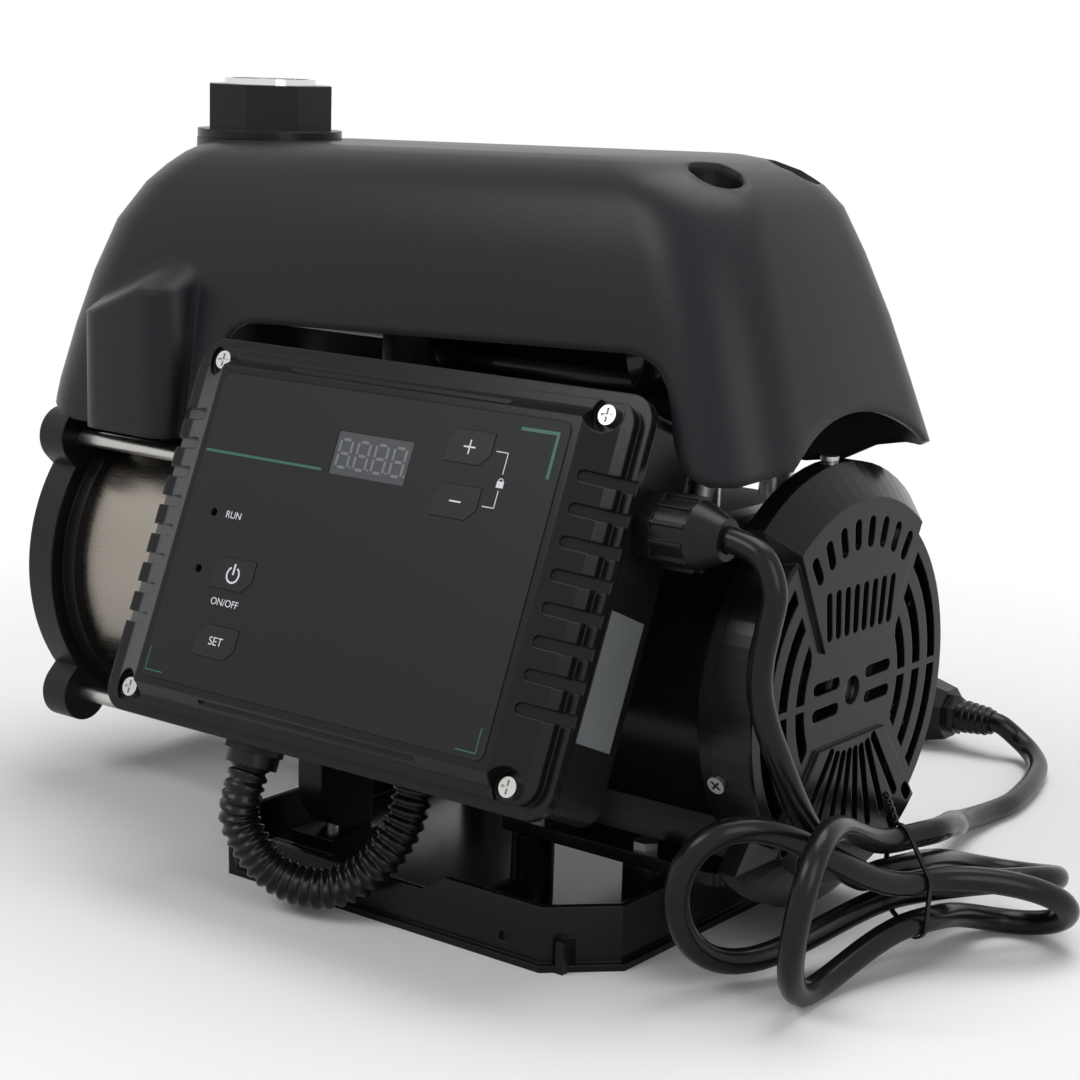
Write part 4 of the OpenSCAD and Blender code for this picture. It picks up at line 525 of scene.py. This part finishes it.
# Threads of the ports, as rings with rounded crests
def thread(name, origin, axis, radius, depth, material):
    pitch, height = 2.3, 0.9
    profile = []
    crest = radius - height
    for k in range(int(depth / pitch)):
        start = k * pitch
        profile += [(radius, start), (crest, start + 0.9), (crest, start + 1.4), (radius, start + 2.2)]
    lathe(name, profile, origin, axis, material)


thread("outlet_thread", Vector((RISER_X, 0, 334.5)), Vector((0, 0, 1)), 19.45, 27, CHROME)
thread("inlet_thread", Vector((-278.5, 0, SHAFT_Z)), Vector((1, 0, 0)), 19.45, 19, CAST)
lathe("barrel_weld", [(77.05, -2), (77.35, -1), (77.35, 1), (77.05, 2)], Vector((-190, 0, SHAFT_Z)),
      Vector((1, 0, 0)), STAINLESS, sides=96)


# Bare rating plate on the side of the controller
def rating_plate():
    corners = [(-114, 160), (-91, 150), (-112.5, 99), (-136, 109)]
    piece = prism("side_plate", corners, Vector((115.2, 0, 0)), Vector((0, 1, 0)), Vector((0, 0, 1)),
                  Vector((1, 0, 0)), 0.4, PLATE)


rating_plate()


# Plug: ridges of the strain relief
def plug_details():
    axis = Vector((1, 0, 0))
    for k in range(4):
        reach = 3 + k * 4
        radius = 8.8 - (8.8 - 6.9) * reach / 20
        profile = [(radius - 0.3, reach), (radius + 0.7, reach + 0.5), (radius + 0.7, reach + 1.7),
                   (radius - 0.4, reach + 2.2)]
        lathe("relief_ridge_%d" % k, profile, PLUG_PLACE, axis, COVER, sides=32)


plug_details()


# Tie: its twisted tails
def tie_tail():
    twist = 1.2
    for k in range(2):
        line = []
        for i in range(25):
            turn = math.pi * k + i * 0.62
            across = HANK_SIDE * (twist * math.cos(turn) - 8) + HANK_AXIS * twist * math.sin(turn)
            line.append(HANK_CENTRE + across + HANK_UP * (24.5 + i * 0.55) - HANK_SIDE * i * 0.35)
        piece = line_curve("tie_tail_%d" % k, line, 0.7, RUBBER, sides=2)


tie_tail()


# Floor, world and lights: the floor keeps the shadow and turns clear farther out, in metres
FLOOR_HALF = 3
FADE_START = 0.3
FADE_END = 0.72
AMBIENT = 0.26


def fading_floor():
    material = principled("floor", (0.93, 0.93, 0.93), 0.8)
    tree = material.node_tree
    place = tree.nodes.new("ShaderNodeTexCoord")
    far = tree.nodes.new("ShaderNodeVectorMath")
    far.operation = "LENGTH"
    fade = tree.nodes.new("ShaderNodeMapRange")
    fade.inputs["From Min"].default_value = FADE_START
    fade.inputs["From Max"].default_value = FADE_END
    clear = tree.nodes.new("ShaderNodeBsdfTransparent")
    mix = tree.nodes.new("ShaderNodeMixShader")
    tree.links.new(place.outputs["Object"], far.inputs[0])
    tree.links.new(far.outputs["Value"], fade.inputs["Value"])
    tree.links.new(fade.outputs["Result"], mix.inputs["Fac"])
    tree.links.new(tree.nodes["Principled BSDF"].outputs["BSDF"], mix.inputs[1])
    tree.links.new(clear.outputs["BSDF"], mix.inputs[2])
    tree.links.new(mix.outputs["Shader"], tree.nodes["Material Output"].inputs["Surface"])
    return material


def stage():
    mesh = bpy.data.meshes.new("floor")
    half = FLOOR_HALF
    corners = [(-half, -half, 0), (half, -half, 0), (half, half, 0), (-half, half, 0)]
    mesh.from_pydata(corners, [], [(0, 1, 2, 3)])
    floor = bpy.data.objects.new("floor", mesh)
    bpy.context.scene.collection.objects.link(floor)
    mesh.materials.append(fading_floor())
    world = bpy.data.worlds.new("studio")
    world.use_nodes = True
    bpy.context.scene.world = world
    tree = world.node_tree
    ambient = tree.nodes["Background"]
    ambient.inputs["Color"].default_value = (0.9, 0.93, 1, 1)
    ambient.inputs["Strength"].default_value = AMBIENT
    white = tree.nodes.new("ShaderNodeBackground")
    white.inputs["Color"].default_value = (1, 1, 1, 1)
    white.inputs["Strength"].default_value = 1
    path = tree.nodes.new("ShaderNodeLightPath")
    mix = tree.nodes.new("ShaderNodeMixShader")
    seen = path.outputs["Is Camera Ray"]
    for ray in ("Is Glossy Ray", "Is Transmission Ray"):
        either = tree.nodes.new("ShaderNodeMath")
        either.operation = "MAXIMUM"
        tree.links.new(seen, either.inputs[0])
        tree.links.new(path.outputs[ray], either.inputs[1])
        seen = either.outputs["Value"]
    tree.links.new(seen, mix.inputs["Fac"])
    tree.links.new(ambient.outputs["Background"], mix.inputs[1])
    tree.links.new(white.outputs["Background"], mix.inputs[2])
    tree.links.new(mix.outputs["Shader"], tree.nodes["World Output"].inputs["Surface"])
    bpy.context.scene.view_settings.view_transform = "Standard"


def area_light(name, place, target, size, power):
    data = bpy.data.lights.new(name, "AREA")
    data.shape = "RECTANGLE"
    data.size, data.size_y = size
    data.energy = power
    obj = bpy.data.objects.new(name, data)
    bpy.context.scene.collection.objects.link(obj)
    place, target = Vector(place), Vector(target)
    turn = (target - place).to_track_quat("-Z", "Y").to_matrix().to_4x4()
    obj.matrix_world = Matrix.Translation(place) @ turn


stage()
area_light("key_light", (-0.6, -1.5, 1.5), (0, 0, 0.15), (1.2, 0.8), 15)
area_light("fill_light", (1.7, -0.7, 0.9), (0, 0, 0.15), (1.0, 1.2), 10)
area_light("top_light", (0.1, 0.4, 1.7), (0, 0, 0.2), (1.2, 1.2), 17)
